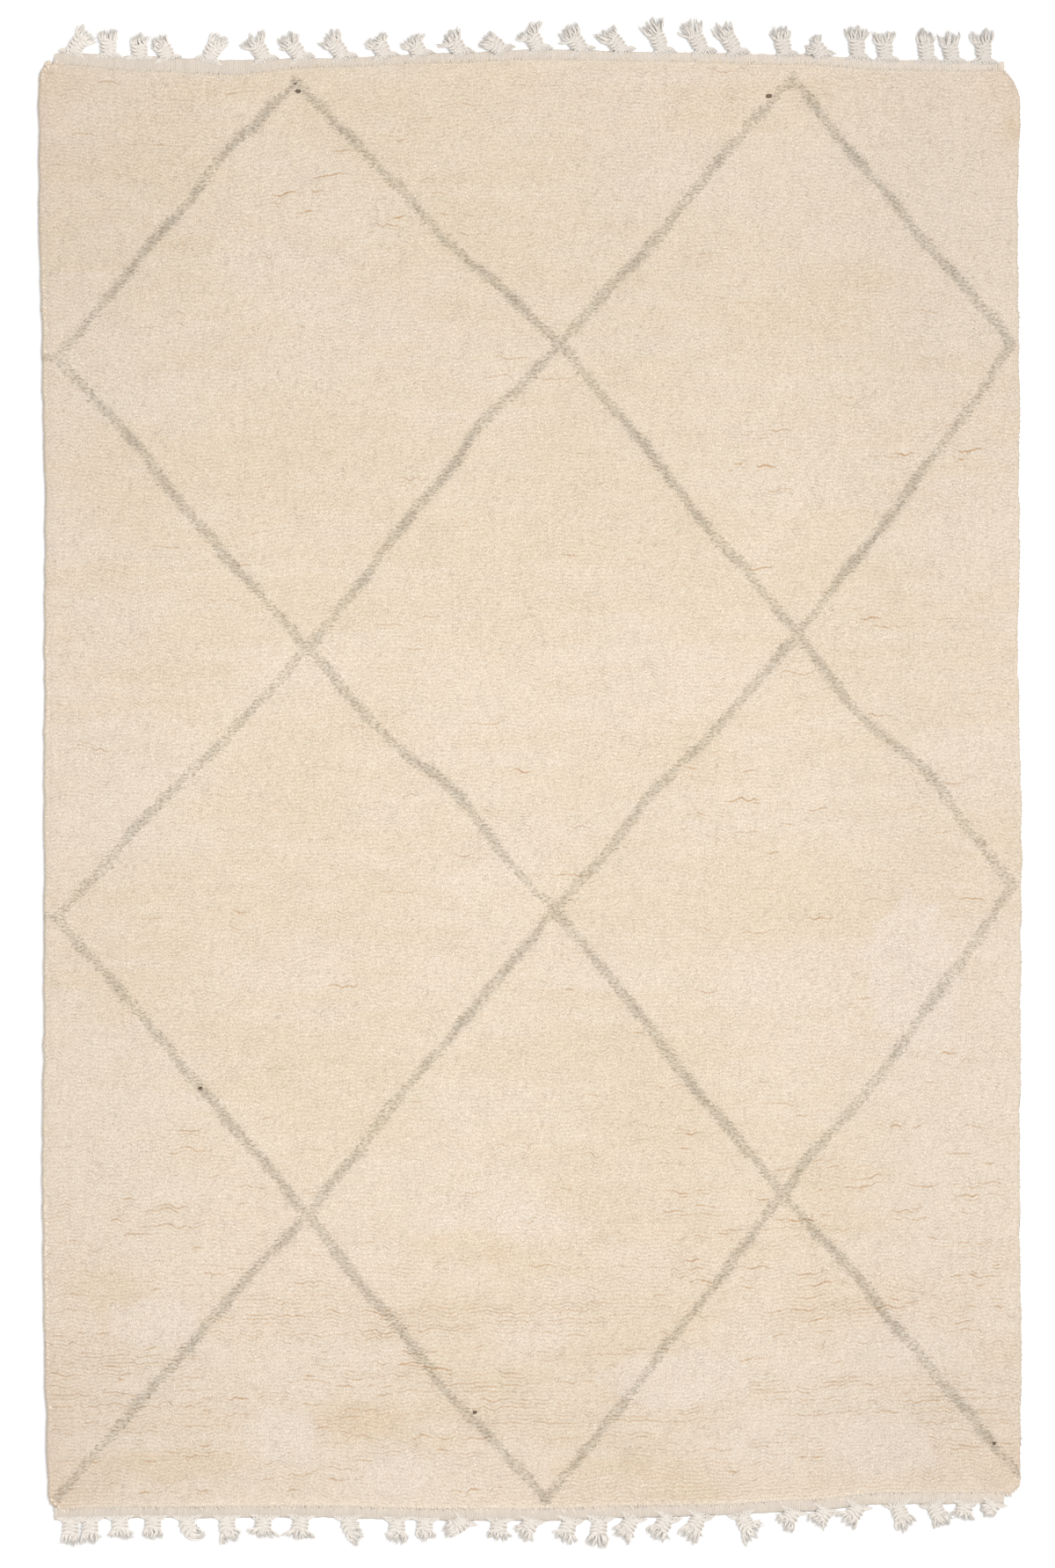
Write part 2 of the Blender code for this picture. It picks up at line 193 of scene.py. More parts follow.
POINTS = {
    "apex_left": (-0.479, 1.432),
    "apex_right": (0.538, 1.440),
    "left_1": (-0.968, 0.868),
    "middle_1": (0.061, 0.896),
    "right_1": (0.985, 0.896),
    "cross_left_2": (-0.455, 0.275),
    "cross_right_2": (0.549, 0.302),
    "left_3": (-0.968, -0.274),
    "middle_3": (0.049, -0.261),
    "right_3": (0.988, -0.207),
    "cross_left_4": (-0.455, -0.882),
    "cross_right_4": (0.517, -0.842),
    "left_5": (-0.968, -1.462),
    "middle_5": (0.034, -1.467),
    "right_5": (0.999, -1.413),
}
# Each hand-knotted line, and how far it strays to its right early on and late on.
Line = namedtuple("Line", "start end early late")
LINES = [Line(*row) for row in (
    ("apex_left", "left_1", 0.013, 0.006),
    ("apex_left", "middle_1", 0.002, 0.012),
    ("apex_right", "middle_1", 0.004, -0.006),
    ("apex_right", "right_1", 0.007, 0.005),
    ("left_1", "cross_left_2", -0.006, 0.002),
    ("middle_1", "cross_left_2", 0.018, 0.009),
    ("middle_1", "cross_right_2", -0.003, 0.006),
    ("right_1", "cross_right_2", -0.009, -0.009),
    ("cross_left_2", "left_3", -0.003, 0.007),
    ("cross_left_2", "middle_3", 0.008, -0.018),
    ("cross_right_2", "middle_3", 0.002, 0.010),
    ("cross_right_2", "right_3", 0.014, -0.016),
    ("left_3", "cross_left_4", -0.001, 0.002),
    ("middle_3", "cross_left_4", 0.001, 0.004),
    ("middle_3", "cross_right_4", -0.004, 0.003),
    ("right_3", "cross_right_4", -0.010, -0.014),
    ("cross_left_4", "left_5", 0.006, 0.004),
    ("cross_left_4", "middle_5", 0.008, 0.016),
    ("cross_right_4", "middle_5", -0.002, -0.002),
    ("cross_right_4", "right_5", -0.006, -0.002),
)]
EARLY, LATE, STRAY_REACH = 0.28, 0.60, 0.15
LINE_WIDTH = 0.0178
LINE_WOBBLE = 0.0040
LINE_STEP = 0.0022  # shorter shifts, from one row of knots to the next
DYE_REACH = 0.024  # the mark that carries the lines rises from 0 to 1 over this distance
FLECK_EDGE = 0.006  # a fleck fades out over this distance
# Short dark runs in the lines, where another yarn was tied in.
Fleck = namedtuple("Fleck", "x y reach")
FLECKS = [Fleck(*row) for row in (
    (-0.475, 1.414, 0.0095),
    (-0.481, 1.430, 0.0065),
    (0.488, 1.404, 0.010),
    (-0.675, -0.625, 0.009),
    (-0.113, -1.287, 0.008),
    (0.949, -1.350, 0.008),
    (0.030, 0.912, 0.006),
)]
# Short ticks that carry the left-hand corners of the lattice out to the side.
TICKS = ((-0.992, 0.868), (-0.992, -0.274))
TICK_LENGTH, TICK_WIDTH = 0.030, 0.012

# -------- ends

FLOOR_GAP = 0.0004  # the lowest parts of the cloth stand this far off the floor
BAND_HEIGHT = 0.0040
BAND_RIB = 0.0034  # one rib of the flat weave
BAND_RIB_HEIGHT = 0.0016
BAND_WEFT = 0.0042
BAND_REACH = 0.0028  # loose weft along the outer edge
BAND_UNEVEN, BAND_FUZZ = 0.0011, 0.0006  # how unevenly, over 13 and over 4 mm
BAND_EDGE_DROP = 0.72  # the outer edge has this share of the band's height
BAND_RAMP = 0.0048  # the band climbs this much where it runs in under the pile
BAND_LINES = 9  # mesh lines across the band's depth
BAND_TUCK = 0.004  # the band starts this far under the pile
BAND_START, BAND_STOP = 0.030, 0.032  # the band stays this far in from the left and the right
COLUMNS_PER_RIB = 3

# The two ends: where the pile stops, and the outer edge of the flat-woven band beyond it.
EndRow = namedtuple("EndRow", "x pile band")
TOP_END = [EndRow(*row) for row in (
    (-1.004, 1.472, 1.478),
    (-0.962, 1.472, 1.492),
    (-0.797, 1.458, 1.483),
    (-0.617, 1.450, 1.476),
    (-0.437, 1.465, 1.480),
    (-0.167, 1.474, 1.490),
    (0.013, 1.481, 1.498),
    (0.283, 1.477, 1.492),
    (0.553, 1.471, 1.487),
    (0.733, 1.460, 1.477),
    (0.913, 1.457, 1.473),
    (1.003, 1.462, 1.472),
)]
BOTTOM_END = [EndRow(*row) for row in (
    (-1.004, -1.487, -1.507),
    (-0.797, -1.483, -1.502),
    (-0.437, -1.481, -1.501),
    (-0.167, -1.487, -1.507),
    (0.013, -1.487, -1.508),
    (0.238, -1.481, -1.501),
    (0.373, -1.478, -1.496),
    (0.553, -1.469, -1.489),
    (0.733, -1.454, -1.474),
    (1.003, -1.453, -1.473),
)]

# Tassels: place along the band, length, lean and further curl in degrees towards +X, and the
# width of the tip.
Tassel = namedtuple("Tassel", "x length lean curl fan")
TOP_TASSELS = [Tassel(*row) for row in (
    (-0.938, 0.062, 42, 0, 0.036),
    (-0.862, 0.054, 0, 0, 0.030),
    (-0.799, 0.048, 0, 0, 0.026),
    (-0.740, 0.050, -30, 0, 0.028),
    (-0.659, 0.060, 34, 0, 0.030),
    (-0.542, 0.062, -34, 0, 0.050),
    (-0.466, 0.064, -44, 4, 0.040),
    (-0.380, 0.064, -42, 6, 0.042),
    (-0.296, 0.052, -32, 0, 0.044),
    (-0.223, 0.044, -36, 4, 0.044),
    (-0.140, 0.054, -40, 0, 0.046),
    (-0.054, 0.052, -62, 4, 0.028),
    (0.020, 0.060, -36, 8, 0.050),
    (0.108, 0.060, -44, 10, 0.044),
    (0.191, 0.066, -48, 10, 0.040),
    (0.272, 0.072, -24, 6, 0.040),
    (0.356, 0.076, -34, 8, 0.042),
    (0.424, 0.074, -36, 6, 0.034),
    (0.524, 0.062, -20, 14, 0.032),
    (0.600, 0.044, -42, -12, 0.040),
    (0.672, 0.070, -6, 0, 0.042),
    (0.729, 0.064, -8, 0, 0.038),
    (0.814, 0.066, -8, 0, 0.030),
    (0.866, 0.062, -14, 6, 0.036),
    (0.930, 0.068, -4, 0, 0.042),
)]
BOTTOM_TASSELS = [Tassel(*row) for row in (
    (-0.940, 0.056, 0, 0, 0.028),
    (-0.900, 0.054, 2, 0, 0.028),
    (-0.840, 0.048, 6, 0, 0.042),
    (-0.771, 0.046, 0, 0, 0.032),
    (-0.702, 0.056, 4, 120, 0.020),
    (-0.620, 0.052, 0, 34, 0.038),
    (-0.544, 0.048, -6, 0, 0.052),
    (-0.468, 0.052, -6, 0, 0.052),
    (-0.372, 0.054, 10, 70, 0.036),
    (-0.272, 0.052, 0, 0, 0.042),
    (-0.214, 0.044, -4, 12, 0.032),
    (-0.132, 0.050, -64, 0, 0.022),
    (-0.062, 0.044, -6, 0, 0.040),
    (0.004, 0.044, -28, -16, 0.036),
    (0.084, 0.052, -22, 0, 0.042),
    (0.144, 0.060, -8, 0, 0.038),
    (0.212, 0.056, -38, 14, 0.038),
    (0.284, 0.058, -40, 20, 0.040),
    (0.350, 0.060, -34, 14, 0.038),
    (0.432, 0.060, 30, 24, 0.048),
    (0.540, 0.042, -36, -10, 0.040),
    (0.608, 0.044, -42, 8, 0.038),
    (0.674, 0.050, -40, 8, 0.038),
    (0.750, 0.060, 28, 0, 0.038),
    (0.824, 0.052, 34, -10, 0.034),
    (0.892, 0.036, -14, 0, 0.038),
    (0.950, 0.032, -40, 0, 0.024),
)]

# The two ends. outward is 1 towards +Y, and the seeds are the band's and the tassels'. The band's
# two shades set its wool beside the pile and at its outer edge, partly its own tone and partly
# painted light and shade; the tassels' two are painted shade on their wool at the left and right.
End = namedtuple("End", "side outward rows tassels seeds band_shades tassel_shades")
ENDS = (
    End("top", 1, TOP_END, TOP_TASSELS, (101, 121), (0.84, 0.88), (0.96, 0.79)),
    End("bottom", -1, BOTTOM_END, BOTTOM_TASSELS, (111, 131), (0.98, 0.86), (0.99, 0.90)),
)

PLAIT_STRANDS = 3
YARNS_PER_STRAND = 4
YARN_RADIUS = 0.0020
YARN_STEPS = 27
YARN_SIDES = 5
YARN_FLATNESS = 0.92
# Shares of a yarn's or a fibre's length, and the share of its radius that it has at each.
YARN_TAPER = ((0, 0.74, 0.92, 1), (1, 1, 0.72, 0.25))
FIBRE_TAPER = ((0, 0.7, 1), (1, 0.9, 0.3))
PLAIT_SWING = 0.0112  # how far a strand's middle swings to each side
PLAIT_RISE = 0.0024
PLAIT_PERIOD = 0.023
PLAIT_BASE = 0.0060  # height of the plait's middle above the floor
STRAND_SPREAD = 0.0033  # between two yarns of one strand
STEM_SHARE = 0.58  # of a tassel's length; the rest is its loose brush
# Painted light: the tassels' yarns are painted paler towards their loose tips, against the shade
# among them.
TIP_PAINTED_LIGHT = 0.16
ROOT_TUCK = 0.0030  # the yarns start this far in from the band's edge
FLARE_WIDTH = 0.058  # the yarns are gathered from this much of the band
FLARE_SHARE = 0.34  # of a tassel's length
BRUSH_WIDEN = 1.22
BRUSH_CURL = 0.0034
BRUSH_LIFT = 0.0030
RAGGED = 0.14  # how much the yarns differ in length, as a share of it
FIBRES_PER_YARN = 8
FIBRE_RADIUS = 0.00045
FIBRE_STEPS = 5
FIBRE_SIDES = 3
FIBRE_SPREAD = 0.0055
FIBRE_REACH = (0.001, 0.0055)  # past the yarn's tip
FIBRE_START = 0.45  # of a yarn's length

LOCK_PITCH = 0.0050  # tufts along the rim
LOCK_LEVELS = 2
LOCK_RADIUS = 0.0027
LOCK_TAPER = (1.0, 0.95, 0.32)  # of the radius, from a tuft's root to its tip
LOCK_SIDES = 4
LOCK_SHAPE = ((-0.0085, 0.0075), (-0.0035, 0.0070), (0.0000, 0.0036))  # outward reach and height
LOCK_LIFT = 0.0052  # from one level of tufts to the next
LOCK_SLIDE = 0.002
LOCK_UNEVEN, LOCK_BUMPY = 0.0014, 0.0008  # in reach and in height
LOCK_LEAN = 0.4
WALL_PITCH = 0.006
WALL_LINES = ((0.0010, 0.0005), (0.0006, 0.0066))  # in from the outline, and height
END_OVERHANG = 0.0110  # the loosest tufts at the two ends reach this much further, over the bands

GROUND_TOP, GROUND_BOTTOM = 0.0040, FLOOR_GAP
GROUND_PITCH = 0.030


# -------- small helpers


def linear(colour):
    share = np.asarray(colour, float) / 255.0
    return np.where(share <= 0.04045, share / 12.92, ((share + 0.055) / 1.055) ** 2.4)


def wool(colour):
    """The wool's own colour, for what it looks like in this light."""
    return linear(colour) / LIGHT


def smooth(t):
    t = np.clip(t, 0.0, 1.0)
    return t * t * (3 - 2 * t)


def ramp(value, start, reach):
    """Eases from 0 at start to 1 at start + reach, which may lie below it."""
    return smooth((value - start) / reach)


def mix(a, b, t):
    return a + (b - a) * np.asarray(t)[..., None]


def noise(x, y, cell_x, cell_y, seed):
    """Smooth noise from -1 to 1 that changes over about one cell."""
    table = np.random.default_rng(seed).uniform(-1, 1, (128, 128))
    gx = np.asarray(x) / cell_x + 512.37
    gy = np.asarray(y) / cell_y + 512.61
    ix = np.floor(gx).astype(int)
    iy = np.floor(gy).astype(int)
    fx = smooth(gx - ix)
    fy = smooth(gy - iy)
    x0, x1 = ix & 127, (ix + 1) & 127
    y0, y1 = iy & 127, (iy + 1) & 127
    low = table[y0, x0] * (1 - fx) + table[y0, x1] * fx
    high = table[y1, x0] * (1 - fx) + table[y1, x1] * fx
    return low * (1 - fy) + high * fy


def layered(x, y, layers):
    return sum(layer.strength * noise(x, y, *layer[1:]) for layer in layers)


def table_value(table, column, at):
    """A column of an end table at any x, eased from row to row as in the solids."""
    xs = np.array([row.x for row in table])
    ys = np.array([getattr(row, column) for row in table])
    at = np.clip(np.asarray(at, float), xs[0], xs[-1])
    i = np.clip(np.searchsorted(xs, at, side="right") - 1, 0, len(xs) - 2)
    t = smooth((at - xs[i]) / (xs[i + 1] - xs[i]))
    return ys[i] * (1 - t) + ys[i + 1] * t


def add_colours(mesh, name, colours):
    layer = mesh.color_attributes.new(name, "FLOAT_COLOR", "POINT")
    rgba = np.ones((len(colours), 4), np.float32)
    rgba[:, :3] = colours
    layer.data.foreach_set("color", rgba.ravel())


def add_object(name, data):
    thing = bpy.data.objects.new(name, data)
    bpy.context.scene.collection.objects.link(thing)
    return thing


def build_piece(name, points, faces, material, colours, normals=None, marks=None):
    mesh = bpy.data.meshes.new(name)
    mesh.vertices.add(len(points))
    mesh.vertices.foreach_set("co", np.ascontiguousarray(points, np.float32).ravel())
    width = faces.shape[1]
    mesh.loops.add(faces.size)
    mesh.loops.foreach_set("vertex_index", np.ascontiguousarray(faces, np.int32).ravel())
    mesh.polygons.add(len(faces))
    mesh.polygons.foreach_set("loop_start", np.arange(0, faces.size, width, dtype=np.int32))
    mesh.update(calc_edges=True)
    mesh.shade_smooth()
    add_colours(mesh, "tone", colours)
    if marks is not None:
        add_colours(mesh, "marks", marks)
    if normals is not None:
        mesh.normals_split_custom_set_from_vertices(normals.tolist())
    mesh.materials.append(material)
    piece = add_object(name, mesh)
    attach(piece, "root")
    return piece


def grid_faces(rows, columns):
    index = np.arange(rows * columns).reshape(rows, columns)
    corners = (index[:-1, :-1], index[:-1, 1:], index[1:, 1:], index[1:, :-1])
    return np.stack(corners, -1).reshape(-1, 4)


def tubes(paths, radii, sides, flatten=1.0):
    """Round yarns along many paths at once: (points, faces, yarn number of each point)."""
    count, steps, _ = paths.shape
    along = np.gradient(paths, axis=1)
    along /= np.linalg.norm(along, axis=2, keepdims=True) + 1e-9
    side = np.cross(along, np.array([0.0, 0.0, 1.0]))
    side /= np.linalg.norm(side, axis=2, keepdims=True) + 1e-9
    up = np.cross(side, along)
    angle = np.arange(sides) * (2 * math.pi / sides)
    ring = (
        np.cos(angle)[None, None, :, None] * side[:, :, None, :]
        + flatten * np.sin(angle)[None, None, :, None] * up[:, :, None, :]
    )
    points = (paths[:, :, None, :] + radii[:, :, None, None] * ring).reshape(-1, 3)
    index = np.arange(count * steps * sides).reshape(count, steps, sides)
    turned = np.roll(index, -1, axis=2)
    corners = (index[:, 1:], turned[:, 1:], turned[:, :-1], index[:, :-1])
    return points, np.stack(corners, -1).reshape(-1, 4), np.repeat(np.arange(count), steps * sides)


# -------- the pile's outline and its patch


def pile_outline():
    """The pile field's foot, in order around the rug."""
    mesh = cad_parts["pile_field"].data
    points = np.array([v.co[:] for v in mesh.vertices])
    low = np.unique(np.round(points[points[:, 2] < 1e-4][:, :2], 6), axis=0)
    order = np.argsort(np.arctan2(low[:, 1] / 1.47, low[:, 0]))
    return low[order]


def outline_reach(points, outline):
    """Each point's distance in from the outline, negative outside, and the nearest place on it."""
    a = outline
    d = np.roll(outline, -1, axis=0) - a
    length2 = (d * d).sum(1)
    distance = np.empty(len(points))
    nearest = np.empty_like(points)
    for start in range(0, len(points), 4000):
        p = points[start : start + 4000]
        r = p[:, None, :] - a[None]
        t = np.clip((r * d[None]).sum(2) / length2, 0, 1)
        foot = a[None] + t[..., None] * d[None]
        gap = np.linalg.norm(p[:, None] - foot, axis=2)
        best = gap.argmin(1)
        rows = np.arange(len(p))
        above = a[None, :, 1] > p[:, None, 1]
        crosses = above != np.roll(above, -1, axis=1)
        slope = np.where(np.abs(d[:, 1]) < 1e-9, 1e-9, d[:, 1])
        at = a[None, :, 0] + (p[:, None, 1] - a[None, :, 1]) * (d[:, 0] / slope)[None]
        inside = (crosses & (p[:, None, 0] < at)).sum(1) % 2 == 1
        distance[start : start + 4000] = np.where(inside, 1, -1) * gap[rows, best]
        nearest[start : start + 4000] = foot[rows, best]
    return distance, nearest


def pull_inside(flat, near, outline):
    """Moves points outside the outline onto it. Returns how far in each of the near ones lay."""
    distance, nearest = outline_reach(flat[near], outline)
    flat[near] = np.where((distance < 0)[:, None], nearest, flat[near])
    return distance


def edge_curves(outline):
    """Left and right sides as x for y, and lower and upper ends as y for x."""
    tall = np.abs(outline[:, 1]) < 1.41
    wide = np.abs(outline[:, 0]) < 0.93

    def curve(points, key):
        order = np.argsort(points[:, key])
        return points[order, key], points[order, 1 - key]

    left = curve(outline[tall & (outline[:, 0] < -0.9)], 1)
    right = curve(outline[tall & (outline[:, 0] > 0.9)], 1)
    bottom = curve(outline[wide & (outline[:, 1] < -1.4)], 0)
    top = curve(outline[wide & (outline[:, 1] > 1.4)], 0)
    return left, right, bottom, top


def patch(u, v, curves):
    """The place on the rug at shares u across it and v along it."""
    left, right, bottom, top = curves
    y0 = FIELD_FOOT + FIELD_LENGTH * v
    x0 = FIELD_LEFT + FIELD_WIDTH * u
    x_left = np.interp(y0, *left)
    x_right = np.interp(y0, *right)
    y_bottom = np.interp(x0, *bottom)
    y_top = np.interp(x0, *top)
    return x_left + u * (x_right - x_left), y_bottom + v * (y_top - y_bottom)


def grid_lines(total, pitch):
    """Distances from one edge to the other: close together near the edges, then evenly spaced."""
    edge = np.array(EDGE_STEPS)
    count = 2 * int((total - 2 * edge[-1]) / pitch / 2) + 1
    inner = np.linspace(edge[-1], total - edge[-1], count)
    return np.concatenate((edge[:-1], inner, (total - edge[:-1])[::-1]))


def pile_top(x, y):
    swell = np.sin(5.1 * x + 1.3 * y) + np.sin(2.3 * x - 6.7 * y + 1.1) + np.sin(9.7 * y + 3.9 * x)
    ripple = RIPPLE_BOTTOM + (RIPPLE_TOP - RIPPLE_BOTTOM) * ramp(y, -1.2, 1.6)
    return PILE_HEIGHT + PILE_LUMP * swell / 3 + ripple * layered(x, y, RIPPLE_NOISE)


# -------- the pile's colours


def dye_depth(x, y):
    """How far inside a grey line each place lies, in metres, negative outside every line."""
    depth = np.full(x.shape, -DYE_REACH)
    for number, line in enumerate(LINES):
        a = np.array(POINTS[line.start])
        d = np.array(POINTS[line.end]) - a
        length = np.hypot(*d)
        along = ((x - a[0]) * d[0] + (y - a[1]) * d[1]) / length
        right = ((x - a[0]) * d[1] - (y - a[1]) * d[0]) / length
        t = along / length
        stray = line.early * np.exp(-(((t - EARLY) / STRAY_REACH) ** 2))
        stray = stray + line.late * np.exp(-(((t - LATE) / STRAY_REACH) ** 2))
        wobble = LINE_WOBBLE * noise(along, along * 0, 0.046, 1.0, 40 + number)
        wobble += LINE_STEP * noise(along, along * 0, 0.017, 1.0, 60 + number)
        past = np.maximum(0, np.maximum(-along, along - length))
        half = LINE_WIDTH / 2 * (1 + 0.34 * noise(along, along * 0, 0.038, 1.0, 80 + number))
        depth = np.maximum(depth, half - np.hypot(right - stray - wobble, past))
    for tick_x, tick_y in TICKS:
        gap = np.maximum(np.abs(y - tick_y) - TICK_WIDTH / 2, np.abs(x - tick_x) - TICK_LENGTH / 2)
        depth = np.maximum(depth, -gap)
    return depth


def fleck_cover(x, y):
    cover = np.zeros_like(x)
    for fleck in FLECKS:
        gap = np.hypot((x - fleck.x) * 0.8, (y - fleck.y) * 1.3)
        cover = np.maximum(cover, ramp(gap, fleck.reach, -FLECK_EDGE))
    return cover


def marks_at(x, y, knot, breaks):
    """The three marks that the wool's material reads: grey dye, openings, which it paints with shade,
    and dark flecks.
    """
    dye = 0.5 + (dye_depth(x, y) + 0.0016 * knot) / DYE_REACH
    return np.stack((np.clip(dye, 0, 1), np.clip(breaks, 0, 1), fleck_cover(x, y)), -1)


def spot_cover(spots, x, y, softness=0.35):
    cover = np.zeros_like(x)
    edge = 0.25 * noise(x, y, 0.03, 0.03, 24) + 0.3 * softness * noise(x, y, 0.07, 0.04, 26)
    for spot in spots:
        gap = np.hypot((x - spot.x) / spot.reach_x, (y - spot.y) / spot.reach_y) + edge
        cover = np.maximum(cover, ramp(gap, 1.1, -softness))
    return cover


def open_shade_cover(x, y):
    """How much painted shade shows where the nap stands open between its rows, from 0 to 1: most
    towards the lower end.
    """
    patches = smooth(0.35 + 0.7 * noise(x, y, 0.22, 0.07, 25))
    open_share = np.clip(patches * (0.25 + 0.75 * ramp(y, -0.80, -0.35)), 0, 1)
    return open_share * (1 - spot_cover(BRUSHED, x, y))


def cream_tone(x, y):
    """Undyed wool: yellowed in the middle, paler and pinker towards the sides and where brushed, with
    slow painted shade and darker, warmer corners.
    """
    cloud = layered(x, y, CLOUD_NOISE)
    edge = 0.45 * ramp(np.abs(x), 0.62, 0.36) + 0.30 * ramp(y, -0.85, -0.35)
    pale = smooth(0.36 + 0.6 * cloud + edge + 0.30 * ramp(y, 1.20, 0.25))
    tone = mix(np.broadcast_to(wool(CREAM), (*x.shape, 3)), wool(CREAM_PALE), 0.62 * pale)
    tone = mix(tone, wool(CREAM_GOLD), 0.12 * smooth(0.30 - 0.9 * cloud))
    tone = mix(tone, wool(CREAM_GOLD), 0.40 * spot_cover(GOLDEN, x, y, 0.9))
    tone = mix(tone, wool(CREAM_PALE), 0.60 * spot_cover(PALER, x, y, 0.9))
    # Painted sheen where the nap was brushed down.
    tone = mix(tone, wool(CREAM_PALE), 0.80 * spot_cover(BRUSHED, x, y))
    # Painted shade, changing slowly across the rug.
    shade = np.ones_like(x)
    for part in SHADING:
        shade = shade - part.amount * ramp({"x": x, "y": y}[part.axis], part.start, part.reach)
    corner = ramp(np.abs(x), 0.86, 0.14) * ramp(np.abs(y), 1.15, 0.3)
    return tone * shade[..., None] * (1.0 - corner[..., None] * np.array(CORNER_LOSS))


def without_clouds(chance):
    """Chance values without their broad clouds: each less the mean of its four neighbours."""
    around = sum(np.roll(chance, step, axis) for step in (-1, 1) for axis in (0, 1)) / 4
    return chance - around


def knot_colours(x, y, knot, fine, reach):
    """Undyed colour of each vertex of the pile, with painted shade and painted light along its edge.

    knot is each knot's own chance value from -1 to 1, and fine the same without broad clouds."""
    shade = 1.0 + 0.030 * np.minimum(fine, 0.4) - 0.16 * ramp(knot, 0.96, 0.03)
    dyed = smooth(0.5 + dye_depth(x, y) / DYE_REACH)
    shade = shade - dyed * (0.05 + layered(x, y, DYE_NOISE))
    # Painted shade along the pile's edge, more on the left, and painted light along its lower end.
    rim_light_and_shade = 0.070 * ramp(y, -1.40, -0.03) - 0.020 * ramp(x, -0.90, -0.03) - 0.030
    shade = shade + rim_light_and_shade * ramp(reach, RIM_SHADE_REACH, -RIM_SHADE_REACH)
    return cream_tone(x, y) * shade[..., None]


# -------- the pile


def break_weights(x, y, rows, columns, valley_rows):
    """How far the pile opens at each vertex: runs along single valleys between two rows."""
    rng = np.random.default_rng(5)
    weights = np.zeros((rows, columns))
    row_y = y[:, columns // 2]
    vx, vy = x[valley_rows], y[valley_rows]
    run = layered(vx, 2.0 * np.arange(len(valley_rows))[:, None], RUN_NOISE)
    low = 0.16 + 0.22 * ramp(vy, 0.55, -0.5) + 0.62 * ramp(vy, -0.72, -0.45)
    cover = low * smooth(0.72 + 0.9 * noise(vx, vy, 0.17, 0.05, 64))
    cover = cover * (1 - spot_cover(BRUSHED, vx, vy)) * (1.0 - 0.6 * ramp(vy, -1.35, -0.08))
    weights[valley_rows] = FINE_BREAKS * cover * ramp(run, -0.22, 0.85)
    for area in BREAKS:
        for _ in range(area.count):
            cx = area.x + area.reach_x * rng.uniform(-1, 1)
            cy = area.y + area.reach_y * rng.uniform(-1, 1)
            length = BREAK_LENGTH[0] + BREAK_LENGTH[1] * rng.uniform() ** 1.6
            strength = area.strength * rng.uniform(0.5, 1.5)
            row = valley_rows[np.abs(row_y[valley_rows] - cy).argmin()]
            t = (x[row] - cx) / length + 0.5
            run = np.where((t > 0) & (t < 1), np.sin(np.pi * np.clip(t, 0, 1)) ** 0.6, 0)
            patchy = smooth(0.80 + 0.9 * noise(x[row], y[row], 0.016, 0.01, 61))
            calm = 1 - spot_cover(BRUSHED, x[row], y[row])
            weights[row] = np.maximum(weights[row], strength * run * patchy * calm)
    return weights


def face_normals_at_points(points, faces):
    a = points[faces[:, 2]] - points[faces[:, 0]]
    b = points[faces[:, 3]] - points[faces[:, 1]]
    face = np.cross(a, b)
    total = np.zeros_like(points)
    for corner in range(4):
        np.add.at(total, faces[:, corner], face)
    length = np.linalg.norm(total, axis=1, keepdims=True)
    flat = length[:, 0] < 1e-12
    total[flat] = (0.0, 0.0, 1.0)
    length[flat] = 1.0
    return total / length


def lifted(normals, share):
    """Normals turned part of the way upwards, as the loose fibres of a nap scatter light."""
    turned = mix(normals, np.array((0.0, 0.0, 1.0)), np.broadcast_to(share, len(normals)))
    return turned / np.linalg.norm(turned, axis=1, keepdims=True)


def edge_gap(u, v):
    """How far in from the nearest edge of the even grid, in metres."""
    across, along = FIELD_WIDTH, FIELD_LENGTH
    return np.minimum.reduce((u * across, (1 - u) * across, v * along, (1 - v) * along))


